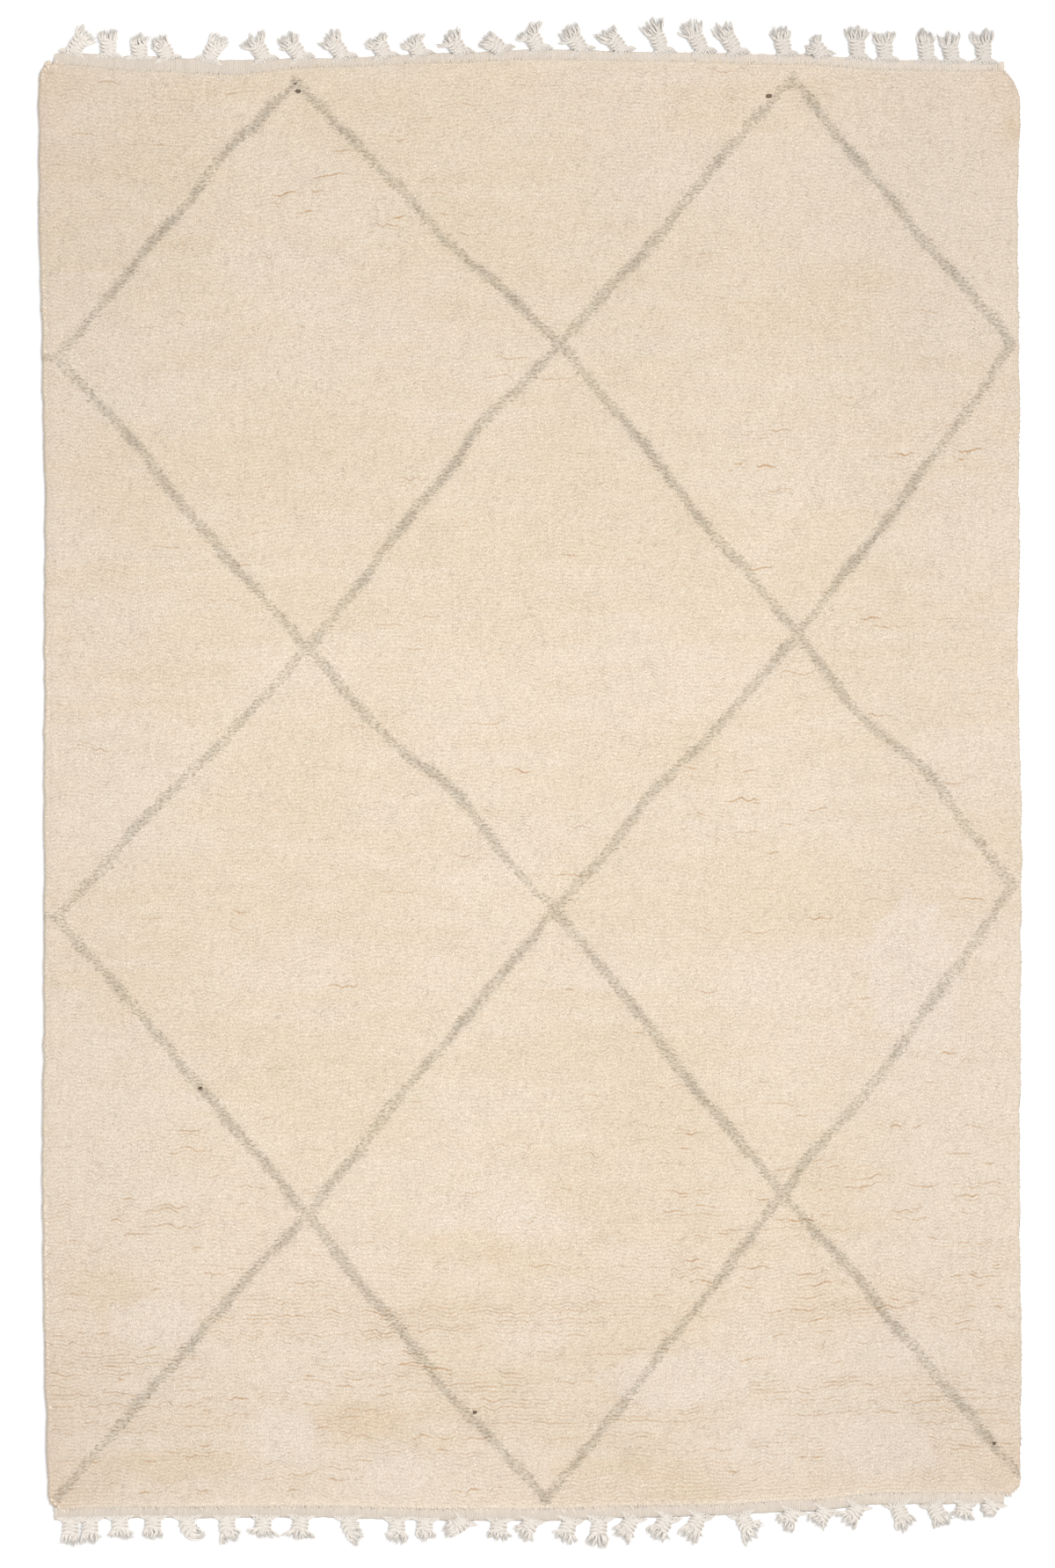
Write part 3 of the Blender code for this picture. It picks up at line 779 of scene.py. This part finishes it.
def make_pile(outline, curves, material):
    """The field of knots: rows of raised crests with valleys between them, split into pieces."""
    columns_at = grid_lines(FIELD_WIDTH, KNOT_PITCH)
    rows_at = grid_lines(FIELD_LENGTH, ROW_PITCH / 2)
    columns, rows = len(columns_at), len(rows_at)
    edge_rows = len(EDGE_STEPS) - 1
    inner = np.arange(rows) - edge_rows
    regular = (inner >= 0) & (inner <= rows - 1 - 2 * edge_rows)
    crest = regular & (inner % 2 == 1)
    valley = regular & (inner % 2 == 0)
    u, v = np.meshgrid(columns_at / FIELD_WIDTH, rows_at / FIELD_LENGTH)
    x, y = patch(u, v, curves)
    edge = edge_gap(u, v)
    fade = smooth(edge / CALM_EDGE)
    rng = np.random.default_rng(1)
    y = y + fade * ROW_WANDER * layered(x, y, WANDER_NOISE)
    x = x + fade * PLACE_JITTER * rng.uniform(-1, 1, x.shape)
    y = y + fade * ROW_JITTER * rng.uniform(-1, 1, x.shape)
    y = y - np.where(crest, NAP_LEAN, 0)[:, None] * fade
    knot = rng.uniform(-1, 1, x.shape)
    fine = without_clouds(knot)

    flat = np.stack((x, y), -1)
    near = edge < NEAR_EDGE
    reach = np.full(x.shape, NEAR_EDGE)
    reach[near] = np.minimum(pull_inside(flat, near, outline), NEAR_EDGE)
    x, y = flat[..., 0], flat[..., 1]
    breaks = break_weights(x, y, rows, columns, np.flatnonzero(valley)) * fade
    z = pile_top(x, y) * np.interp(np.maximum(reach, 0), RIM_INSET, RIM_RISE)
    depth = VALLEY * (1 + 0.15 * noise(x, y, 0.04, 0.02, 4))
    z = z - np.where(valley, 1.0, 0.0)[:, None] * fade * depth
    z = z + fade * KNOT_JITTER * fine * np.where(crest, 1.0, 0.5)[:, None]
    z = z - BREAK_DEPTH * breaks
    points = np.stack((x, y, z), -1).reshape(-1, 3)

    colours = knot_colours(x, y, knot, fine, reach).reshape(-1, 3)
    # Painted shade between the rows where the nap stands open.
    painted_open_shade = np.where(valley, OPEN_SHADE_SHARE, 0.0)[:, None] * open_shade_cover(x, y)
    colours = mix(colours, wool(OPEN_SHADE_COLOUR), painted_open_shade.ravel())
    # Painted shade in the valleys between rows and painted light on their crests.
    row_shade = np.where(valley[:, None], VALLEY_SHADE, CREST_LIGHT)
    colours = colours * np.repeat(row_shade, columns, axis=0)
    marks = marks_at(x, y, rng.uniform(-1, 1, x.shape), breaks).reshape(-1, 3)
    faces = grid_faces(rows, columns)
    beyond = (reach < 0).reshape(-1)[faces].all(1)
    softer = (RIM_SOFTNESS - NAP_SOFTNESS) * ramp(reach.ravel(), *SOFT_EDGE)
    normals = lifted(face_normals_at_points(points, faces[~beyond]), NAP_SOFTNESS + softer)

    pieces = []
    bounds = np.linspace(0, rows - 1, PILE_PIECES + 1).astype(int)
    for number, (low, high) in enumerate(zip(bounds[:-1], bounds[1:]), 1):
        own = slice(low * (columns - 1), high * (columns - 1))
        first, last = low * columns, (high + 1) * columns
        looks = [values[first:last] for values in (colours, normals, marks)]
        chosen = faces[own][~beyond[own]] - first
        piece = build_piece(f"pile_{number}", points[first:last], chosen, material, *looks)
        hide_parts("pile_field")
        pieces.append(piece)
    return pieces


def resample(outline, pitch):
    """Even places around a closed outline, with the outward direction at each."""
    closed = np.vstack((outline, outline[:1]))
    run = np.concatenate(([0], np.cumsum(np.linalg.norm(np.diff(closed, axis=0), axis=1))))
    count = int(run[-1] / pitch)
    at = np.arange(count) * (run[-1] / count)
    places = np.stack((np.interp(at, run, closed[:, 0]), np.interp(at, run, closed[:, 1])), -1)
    along = np.roll(places, -1, axis=0) - np.roll(places, 1, axis=0)
    along /= np.linalg.norm(along, axis=1, keepdims=True)
    return places, np.stack((along[:, 1], -along[:, 0]), -1)


def make_rim(outline, material):
    """Loose tufts leaning out all around the pile, and the wall of knots behind them."""
    rng = np.random.default_rng(7)
    places, outward = resample(outline, LOCK_PITCH)
    sideways = np.stack((outward[:, 1], -outward[:, 0]), -1)
    count = len(places)
    paths = []
    for level in range(LOCK_LEVELS):
        slide = sideways * rng.uniform(-1, 1, (count, 1)) * LOCK_SLIDE
        lean = rng.uniform(-LOCK_LEAN, LOCK_LEAN, (count, 1)) * sideways
        at_end = np.abs(outward[:, 1:]) ** 3 * rng.uniform(0, 1, (count, 1)) ** 2
        steps = []
        for number, (start, height) in enumerate(LOCK_SHAPE):
            reach = start + (0.0010 - 0.004 * level) + LOCK_UNEVEN * rng.uniform(-1, 1, (count, 1))
            reach = reach + at_end * END_OVERHANG * (number / 2) * (1 - 0.5 * level)
            tall = height + LOCK_LIFT * level + LOCK_BUMPY * rng.uniform(-1, 1, (count, 1))
            steps.append(np.hstack((places + slide + (outward + lean) * reach, tall)))
        paths.append(np.stack(steps, 1))
    paths = np.concatenate(paths)
    radii = np.tile(LOCK_RADIUS * np.array(LOCK_TAPER), (len(paths), 1))
    points, faces, owner = tubes(paths, radii, LOCK_SIDES, 0.8)

    knot = rng.uniform(-1, 1, len(paths))[owner]
    # Painted light on the tufts of the left side and the lower end, which face away from the lamp,
    # and painted shade on those of the right side.
    painted_facing_light = 0.25 * ramp(points[:, 0], -0.93, -0.03) - 0.05 * ramp(points[:, 0], 0.95, 0.03)
    painted_facing_light = painted_facing_light + 0.08 * ramp(points[:, 1], -1.44, -0.01)
    tone = cream_tone(points[:, 0], points[:, 1]) * (1.02 + painted_facing_light + 0.03 * knot)[:, None]
    # The tips of the tufts at the two ends are painted paler, partly towards the ends' warp colour
    # and partly as painted light where the pile meets the bands.
    tip = (np.arange(len(points)) // LOCK_SIDES) % 3 == 2
    tone = mix(tone, wool(WARP), 0.60 * tip * (np.abs(points[:, 1]) > 1.44))

    places, outward = resample(outline, WALL_PITCH)
    size = len(places)
    wall = [
        np.hstack((places - outward * inset, np.full((size, 1), height)))
        for inset, height in WALL_LINES
    ]
    index = np.arange(size)
    after = np.roll(index, -1)
    wall_faces = np.stack((index, after, after + size, index + size), -1) + len(points)
    points = np.vstack((points, *wall))
    faces = np.vstack((faces, wall_faces))
    tone = np.vstack((tone, np.tile(wool(CREAM), (2 * size, 1))))
    marks = marks_at(points[:, 0], points[:, 1], 0.0, 0.0 * points[:, 0])
    normals = lifted(face_normals_at_points(points, faces), RIM_SOFTNESS)
    piece = build_piece("rim_tufts", points, faces, material, tone, normals, marks)
    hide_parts("pile_field")
    return piece


def make_ground(outline, curves, material):
    """The woven ground that the knots are tied on, seen from below as rows of knot backs."""
    columns, rows = int(FIELD_WIDTH / GROUND_PITCH), int(FIELD_LENGTH / GROUND_PITCH)
    u, v = np.meshgrid(np.linspace(0.001, 0.999, columns), np.linspace(0.0007, 0.9993, rows))
    x, y = patch(u, v, curves)
    flat = np.stack((x.ravel(), y.ravel()), -1)
    near = np.minimum.reduce((u, 1 - u, v * 1.5, (1 - v) * 1.5)).ravel() < 0.05
    beyond = np.zeros(len(flat), bool)
    beyond[near] = pull_inside(flat, near, outline) < 0
    faces = grid_faces(rows, columns)
    faces = faces[~beyond[faces].all(1)]
    count = len(flat)
    edges = np.stack((faces, np.roll(faces, -1, axis=1)), -1).reshape(-1, 2)
    keys = np.sort(edges, 1)
    _, inverse, counts = np.unique(keys, axis=0, return_inverse=True, return_counts=True)
    rim = edges[counts[inverse.ravel()] == 1]
    walls = np.stack((rim[:, 1], rim[:, 0], rim[:, 0] + count, rim[:, 1] + count), -1)
    all_faces = np.vstack((faces, faces[:, ::-1] + count, walls))
    used = np.unique(all_faces)
    renumber = np.zeros(2 * count, int)
    renumber[used] = np.arange(len(used))
    levels = (GROUND_TOP, GROUND_BOTTOM)
    points = np.vstack([np.hstack((flat, np.full((count, 1), z))) for z in levels])[used]
    tone = cream_tone(points[:, 0], points[:, 1]) * 0.93
    piece = build_piece("rug_ground", points, renumber[all_faces], material, tone)
    piece.data.polygons.foreach_set("use_smooth", np.zeros(len(all_faces), bool))
    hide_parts("pile_field")
    return piece


# -------- ends


def make_band(end, material):
    """One flat-woven band: upright ribs of warp crossed by fine wefts, and its outer edge."""
    node, table, outward = f"end_band_{end.side}", end.rows, end.outward
    seed, painted_shades = end.seeds[0], end.band_shades
    start, stop = table[0].x + BAND_START, table[-1].x - BAND_STOP
    ribs = int((stop - start) / BAND_RIB)
    columns = ribs * COLUMNS_PER_RIB + 1
    xs = np.linspace(start, stop, columns)
    rng = np.random.default_rng(seed)
    inner = table_value(table, "pile", xs) - outward * BAND_TUCK
    uneven = BAND_UNEVEN * noise(xs, xs * 0, 0.013, 1.0, seed)
    uneven += BAND_FUZZ * noise(xs, xs * 0, 0.004, 1.0, seed + 3)
    outer = table_value(table, "band", xs) + outward * (BAND_REACH + uneven)
    share = np.linspace(0, 1, BAND_LINES)[:, None]
    x = np.broadcast_to(xs, (BAND_LINES, columns)).copy()
    y = inner[None] + share * (outer - inner)[None]
    x += 0.0014 * noise(x, y, 0.03, 0.008, seed + 1)
    phase = np.arange(columns) % COLUMNS_PER_RIB
    rib = np.where(phase == 0, -1.0, 0.6)[None] * np.ones((BAND_LINES, 1))
    number = (np.arange(columns) // COLUMNS_PER_RIB)[None]
    weft = np.sin(2 * math.pi * (y - inner[None]) / BAND_WEFT + math.pi * (number % 2))
    z = BAND_HEIGHT + BAND_RIB_HEIGHT * (0.5 * rib + 0.22 * weft)
    z += 0.0003 * rng.uniform(-1, 1, z.shape) + 0.0005 * noise(x, y, 0.04, 0.02, seed + 2)
    z += BAND_RAMP * (1 - share) ** 2
    z[-1] *= BAND_EDGE_DROP
    tone = np.broadcast_to(wool(BAND), (*x.shape, 3))
    # The grooves between the ribs are painted darker: painted shade in the grooves.
    tone = mix(tone, wool(WARP_DARK), np.clip(-rib, 0, 1) * 0.45)
    chance = rng.uniform(-1, 1, ribs + 1)[np.minimum(number[0], ribs)]
    # Painted light and shade across the band, from beside the pile to its outer edge.
    shade = painted_shades[0] + (painted_shades[1] - painted_shades[0]) * share
    tone = tone * (shade + 0.035 * chance[None])[..., None]
    # One more line drops from the outer edge to the floor.
    x = np.vstack((x, x[-1]))
    y = np.vstack((y, y[-1] + outward * 0.0006))
    z = np.vstack((z, np.full(columns, FLOOR_GAP)))
    # The drop to the floor is painted darker: painted shade where the band meets the floor.
    tone = np.concatenate((tone, tone[-1:] * 0.9))
    points = np.stack((x, y, z), -1).reshape(-1, 3)
    faces = grid_faces(BAND_LINES + 1, columns)
    if outward < 0:
        faces = faces[:, ::-1]
    piece = build_piece(f"band_{end.side}", points, faces, material, tone.reshape(-1, 3))
    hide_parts(node)
    return piece


def tassel_middle(tassel, steps, root, outward):
    """Points, headings and sideways directions along a tassel's middle line."""
    t = np.linspace(0, 1, steps)
    middle = (t[:-1] + t[1:]) / 2

    def heading(at):
        lean = tassel.lean * (0.45 + 0.55 * np.minimum(1.0, 2 * at))
        angle = np.radians(lean + tassel.curl * np.maximum(0.0, at - 0.3) / 0.7)
        return np.stack((np.sin(angle), outward * np.cos(angle)), -1)

    moves = heading(middle) * (tassel.length * np.diff(t))[:, None]
    places = np.vstack(((0.0, 0.0), np.cumsum(moves, axis=0))) + np.array(root)
    ways = heading(t)
    across = np.stack((ways[:, 1], -ways[:, 0]), -1) * outward
    return t, places, ways, across


def yarn_offsets(tassel, t, rng):
    """Sideways, upward and lengthways offsets of every yarn of one tassel at each step."""
    count = PLAIT_STRANDS * YARNS_PER_STRAND
    strand = np.arange(count) // YARNS_PER_STRAND
    member = np.arange(count) % YARNS_PER_STRAND
    run = t * tassel.length
    turns = run[None] / PLAIT_PERIOD + strand[:, None] / PLAIT_STRANDS + rng.uniform()
    phase = 2 * math.pi * turns
    spread = (member - (YARNS_PER_STRAND - 1) / 2)[:, None] * STRAND_SPREAD
    side = PLAIT_SWING * np.sin(phase) + spread
    rise = PLAIT_BASE + PLAIT_RISE * np.sin(2 * phase) + 0.0004 * np.cos(member * 2.1)[:, None]
    stem_end = int(STEM_SHARE * (len(t) - 1))
    order = np.argsort(np.argsort(side[:, stem_end] + 0.004 * rng.uniform(-1, 1, count)))
    rank = (order / (count - 1) - 0.5)[:, None]
    start_rank = (np.argsort(np.argsort(side[:, 2])) / (count - 1) - 0.5)[:, None]
    loose = np.clip((t - STEM_SHARE) / (1 - STEM_SHARE), 0, 1)[None]
    fan = tassel.fan * BRUSH_WIDEN
    swing = rng.uniform(0, 2 * math.pi, (count, 1))
    curl = BRUSH_CURL * loose * np.sin(swing + loose * rng.uniform(2, 6, (count, 1)))
    waist = side[:, stem_end][:, None]
    brush = waist * (1 - loose) + rank * fan * loose**0.8 + curl
    brush_rise = rise[:, stem_end][:, None] * (1 - loose) + loose * YARN_RADIUS * 1.2
    brush_rise = brush_rise + BRUSH_LIFT * rng.uniform(0, 1, (count, 1)) * np.sin(math.pi * loose)
    held = smooth(loose / 0.25)
    side = side * (1 - held) + brush * held
    rise = rise * (1 - held) + brush_rise * held
    flare = np.maximum(0.0, 1 - t / FLARE_SHARE)[None] ** 1.7
    side = side * (1 - flare) + start_rank * FLARE_WIDTH * flare
    rise = rise * (1 - flare) + (BAND_HEIGHT - FLOOR_GAP) * flare
    ragged = loose * tassel.length * RAGGED * rng.uniform(-1, 1, (count, 1))
    splay = -loose * np.abs(rank) * tassel.fan * 0.30
    return side, np.maximum(rise, YARN_RADIUS), ragged + splay


def loose_fibres(paths, rng):
    """Thin fibres that leave each yarn of a tassel in its lower part and spread towards its tip."""
    base = paths[:, int(FIBRE_START * (YARN_STEPS - 1)) :]
    cuts = np.linspace(0, base.shape[1] - 1, FIBRE_STEPS)
    low = np.floor(cuts).astype(int)
    high = np.minimum(low + 1, base.shape[1] - 1)
    part = (cuts - low)[None, :, None]
    cored = base[:, low] * (1 - part) + base[:, high] * part
    s = np.linspace(0, 1, FIBRE_STEPS)[None, :, None]
    on = (paths[:, -1] - paths[:, -2])[:, None]
    on = on / (np.linalg.norm(on, axis=2, keepdims=True) + 1e-9)
    fibres = []
    for _ in range(FIBRES_PER_YARN):
        turn = rng.uniform(0, 2 * math.pi, (len(paths), 1, 1))
        out = np.concatenate((np.cos(turn), np.sin(turn), 0.6 * np.abs(np.sin(turn * 3))), 2)
        reach = rng.uniform(*FIBRE_REACH, (len(paths), 1, 1))
        fibre = cored + out * FIBRE_SPREAD * s**1.5 + on * reach * s
        fibre[..., 2] = np.maximum(fibre[..., 2], FIBRE_RADIUS * 1.5)
        fibres.append(fibre)
    return fibres


def tapered(paths, radius, taper, sides, flatten=1.0):
    """Yarns whose radius changes along them as the taper says."""
    profile = np.interp(np.linspace(0, 1, paths.shape[1]), *taper)
    return tubes(paths, radius * np.tile(profile, (len(paths), 1)), sides, flatten)


def make_tassels(end, material):
    """The plaited tassels of one end, with the loose fibres of their tips."""
    node, outward = f"end_band_{end.side}", end.outward
    rng = np.random.default_rng(end.seeds[1])
    yarn_paths, fibre_paths, chance = [], [], []
    for tassel in end.tassels:
        root = (tassel.x, float(table_value(end.rows, "band", tassel.x)) - outward * ROOT_TUCK)
        t, places, ways, across = tassel_middle(tassel, YARN_STEPS, root, outward)
        side, rise, further = yarn_offsets(tassel, t, rng)
        flat = places[None] + across[None] * side[..., None] + ways[None] * further[..., None]
        paths = np.concatenate((flat, rise[..., None]), axis=2)
        yarn_paths.append(paths)
        chance.append(rng.uniform(-1, 1, len(paths)))
        fibre_paths.extend(loose_fibres(paths, rng))
    yarn_paths, fibre_paths = np.concatenate(yarn_paths), np.concatenate(fibre_paths)
    yarn = tapered(yarn_paths, YARN_RADIUS, YARN_TAPER, YARN_SIDES, YARN_FLATNESS)
    fine = tapered(fibre_paths, FIBRE_RADIUS, FIBRE_TAPER, FIBRE_SIDES)
    points, faces, owner = yarn
    uneven = 0.30 + 0.20 * np.concatenate(chance)[owner]
    tone = mix(np.tile(wool(WARP), (len(points), 1)), wool(WARP_DARK), uneven)
    along = np.tile(np.repeat(np.linspace(0, 1, YARN_STEPS), YARN_SIDES), len(yarn_paths))
    # Painted light, growing towards the yarns' tips.
    tone = tone * (1 + TIP_PAINTED_LIGHT * along**2)[:, None]
    all_faces = np.vstack((faces, fine[1] + len(points)))
    all_points = np.vstack((points, fine[0]))
    tone = np.vstack((tone, np.tile(wool(WARP), (len(fine[0]), 1))))
    # Painted shade on the tassels' wool, from their left to their right.
    tone = tone * np.interp(all_points[:, 0], (-1, 1), end.tassel_shades)[:, None]
    normals = lifted(face_normals_at_points(all_points, all_faces), YARN_SOFTNESS)
    piece = build_piece(f"tassels_{end.side}", all_points, all_faces, material, tone, normals)
    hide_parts(node)
    return piece


# -------- materials

# A wool's speckle: grain per metre, strength and relief. Then its fibres' grain and relief, and its
# sheen.
Yarn = namedtuple("Yarn", "speckle_scale speckle tuft_relief fibre_scale fibre_relief sheen")
PILE_YARN = Yarn(420.0, 0.29, 0.0016, (1100.0, 600.0, 1100.0), 0.6, 0.15)
WARP_YARN = Yarn(600.0, 0.06, 0.0004, (1400.0, 1400.0, 1400.0), 0.5, 0.2)
BACK_YARN = Yarn(260.0, 0.10, 0.0005, (900.0, 900.0, 900.0), 0.4, 0.2)
# The speckle's darker and lighter ends. The same noise raises the tuft relief, so besides the wool's
# grain they are painted shade in the relief's hollows, warmed as in deep wool, and painted highlight
# on its tops.
SPECKLE_SHADE, SPECKLE_HIGHLIGHT = (0.78, 1.04, 1.35), (0.50, 0.60, 0.72)
FINE_RELIEF = 0.0012

# How a mark is read: how ragged the grain makes its edge, and the values between which it comes in.
Mark = namedtuple("Mark", "ragged low high")
DYE_MARK = Mark(1.2, 0.97, 1.25)
# The openings' mark brings in painted shade.
BREAK_SHADE_MARK = Mark(0.35, 0.32, 1.05)
FLECK_MARK = Mark(0.9, 0.98, 1.16)
MARK_GRAIN = (120.0, 270.0, 120.0)  # per metre
STREAK_SPAN = (0.40, 0.68)  # values of the grain over which the grey wool goes from pale to dark


def add_node(tree, kind, inputs, **settings):
    """A node with its settings. Each input takes a value, or a link where an output is given."""
    node = tree.nodes.new(kind)
    for key, value in settings.items():
        setattr(node, key, value)
    for socket, value in inputs.items():
        if isinstance(value, bpy.types.NodeSocket):
            tree.links.new(value, node.inputs[socket])
        else:
            node.inputs[socket].default_value = value
    return node


def grain(tree, place, scale, **inputs):
    """Noise with its own scale along each axis."""
    stretch = add_node(tree, "ShaderNodeMapping", {"Vector": place, "Scale": scale})
    inputs = {"Vector": stretch.outputs["Vector"], "Scale": 1.0, **inputs}
    return add_node(tree, "ShaderNodeTexNoise", inputs).outputs["Fac"]


def tinted(tree, colour, factor):
    node = add_node(tree, "ShaderNodeVectorMath", {0: colour, 1: factor}, operation="MULTIPLY")
    return node.outputs["Vector"]


def blend(tree, share, first, second):
    inputs = {0: share, 6: first, 7: second}
    return add_node(tree, "ShaderNodeMix", inputs, data_type="RGBA").outputs[2]


def span(tree, value, low, high, easing="LINEAR"):
    inputs = {"Value": value, "From Min": low, "From Max": high}
    return add_node(tree, "ShaderNodeMapRange", inputs, interpolation_type=easing).outputs["Result"]


def mark_cover(tree, mark, value, texture):
    """How far a mark covers the wool, from 0 to 1, with an edge that the texture makes ragged."""
    inputs = {0: texture, 1: mark.ragged, 2: value}
    rough = add_node(tree, "ShaderNodeMath", inputs, operation="MULTIPLY_ADD")
    return span(tree, rough.outputs["Value"], mark.low, mark.high, "SMOOTHSTEP")


def relief(tree, height, strength, distance, base=None, **settings):
    inputs = {"Height": height, "Strength": strength, "Distance": distance}
    if base is not None:
        inputs["Normal"] = base
    return add_node(tree, "ShaderNodeBump", inputs, **settings).outputs["Normal"]


def new_material(name, inputs):
    """A new material, its nodes and its shader, with these values on the shader's own sockets."""
    material = bpy.data.materials.new(name)
    material.use_nodes = True
    shader = material.node_tree.nodes["Principled BSDF"]
    for socket, value in inputs.items():
        shader.inputs[socket].default_value = value
    return material, material.node_tree, shader


def marked_tone(tree, place, tone):
    """The tone with the grey dye, painted shade in the openings and the flecks drawn in."""
    marks = add_node(tree, "ShaderNodeVertexColor", {}, layer_name="marks").outputs["Color"]
    split = add_node(tree, "ShaderNodeSeparateColor", {"Color": marks}).outputs
    ragged = grain(tree, place, MARK_GRAIN, Detail=3.0)
    streak = grain(tree, place, MARK_GRAIN, Detail=2.0)
    pale, dark = tinted(tree, tone, GREY_PALE), tinted(tree, tone, GREY_DARK)
    grey = blend(tree, span(tree, streak, *STREAK_SPAN, "SMOOTHSTEP"), pale, dark)
    dyed = blend(tree, mark_cover(tree, DYE_MARK, split["Red"], ragged), tone, grey)
    # Painted shade in the openings between the rows.
    opening_shade = mark_cover(tree, BREAK_SHADE_MARK, split["Green"], ragged)
    painted_open_shade = blend(tree, opening_shade, dyed, tinted(tree, dyed, BREAK_SHADE))
    fleck = mark_cover(tree, FLECK_MARK, split["Blue"], streak)
    return blend(tree, fleck, painted_open_shade, tinted(tree, painted_open_shade, FLECK_TONE))


def yarn_material(name, yarn, marked=False):
    """Wool from each vertex's own tone, with fine fibres in its colour and its relief."""
    matt = {"Roughness": 0.95, "Specular IOR Level": 0.15, "Sheen Roughness": 0.6}
    material, tree, shader = new_material(name, {**matt, "Sheen Weight": yarn.sheen})
    tone = add_node(tree, "ShaderNodeVertexColor", {}, layer_name="tone").outputs["Color"]
    place = add_node(tree, "ShaderNodeTexCoord", {}).outputs["Object"]
    if marked:
        tone = marked_tone(tree, place, tone)
    inputs = {"Vector": place, "Scale": yarn.speckle_scale, "Detail": 3.0, "Distortion": 0.8}
    speckle = add_node(tree, "ShaderNodeTexNoise", inputs).outputs["Fac"]
    # The wool's speckle, also painted shade in the tuft relief's hollows and painted highlight on its
    # tops.
    dark = tinted(tree, tone, [1.0 - share * yarn.speckle for share in SPECKLE_SHADE])
    light = tinted(tree, tone, [1.0 + share * yarn.speckle for share in SPECKLE_HIGHLIGHT])
    colour = blend(tree, span(tree, speckle, 0.30, 0.70), dark, light)
    fibres = grain(tree, place, yarn.fibre_scale, Detail=4.0, Roughness=0.65)
    tufts = relief(tree, speckle, 1.0, yarn.tuft_relief)
    fine = relief(tree, fibres, yarn.fibre_relief, FINE_RELIEF, tufts)
    tree.links.new(colour, shader.inputs["Base Color"])
    tree.links.new(fine, shader.inputs["Normal"])
    return material


def knot_back_material():
    """The underside: rows of small knot backs between shoots of weft."""
    material = yarn_material("knot_backs", BACK_YARN)
    tree = material.node_tree
    normal = tree.nodes["Principled BSDF"].inputs["Normal"]
    inputs = {
        "Vector": tree.nodes["Texture Coordinate"].outputs["Object"],
        "Scale": 1.0,
        "Brick Width": KNOT_PITCH,
        "Row Height": ROW_PITCH,
        "Mortar Size": 0.0011,
        "Mortar Smooth": 1.0,
    }
    knots = add_node(tree, "ShaderNodeTexBrick", inputs).outputs["Fac"]
    fine = normal.links[0].from_socket
    tree.links.new(relief(tree, knots, 0.8, FINE_RELIEF, fine, invert=True), normal)
    return material


def floor_material():
    colour = (*linear(FLOOR_COLOUR), 1.0)
    looks = {"Base Color": colour, "Roughness": 1.0, "Specular IOR Level": 0.0}
    return new_material("floor", looks)[0]


# -------- floor, light and camera


def make_floor():
    mesh = bpy.data.meshes.new("floor")
    half = FLOOR_SIZE / 2
    corners = [(-half, -half, 0), (half, -half, 0), (half, half, 0), (-half, half, 0)]
    mesh.from_pydata(corners, [], [(0, 1, 2, 3)])
    mesh.materials.append(floor_material())
    floor = add_object("floor", mesh)
    return floor


def make_light():
    world = bpy.data.worlds.new("studio")
    world.use_nodes = True
    back = world.node_tree.nodes["Background"]
    back.inputs["Color"].default_value = (1.0, 1.0, 1.0, 1.0)
    back.inputs["Strength"].default_value = WORLD_LIGHT
    bpy.context.scene.world = world
    data = bpy.data.lights.new("soft_light", "AREA")
    data.shape = "SQUARE"
    data.size = LAMP_SIZE
    data.energy = LAMP_WATTS
    lamp = add_object("soft_light", data)
    place = np.array(LAMP_PLACE)
    lamp.location = place
    tilt = math.acos(place[2] / np.linalg.norm(place))
    lamp.rotation_euler = (0.0, tilt, math.atan2(place[1], place[0]))


def make_camera():
    data = bpy.data.cameras.new("camera")
    data.type = "PERSP"
    data.sensor_fit = "VERTICAL"
    data.sensor_height = SENSOR
    data.lens = SENSOR * CAMERA_HEIGHT / (PHOTO_PIXELS * PIXEL)
    data.clip_end = 200.0
    camera = add_object("camera", data)
    camera.location = (*FRAME_CENTRE, CAMERA_HEIGHT)
    bpy.context.scene.camera = camera


# -------- the dressed rug


def main():
    scene = bpy.context.scene
    scene.view_settings.view_transform = "Standard"
    scene.view_settings.look = "None"
    pile_wool = yarn_material("pile_wool", PILE_YARN, marked=True)
    warp = yarn_material("warp_yarn", WARP_YARN)
    outline = pile_outline()
    curves = edge_curves(outline)
    pieces = make_pile(outline, curves, pile_wool)
    pieces.append(make_rim(outline, pile_wool))
    ground = make_ground(outline, curves, knot_back_material())
    pieces.extend([make_band(end, warp) for end in ENDS])
    pieces.extend([make_tassels(end, warp) for end in ENDS])
    floor = make_floor()
    make_light()
    make_camera()


main()
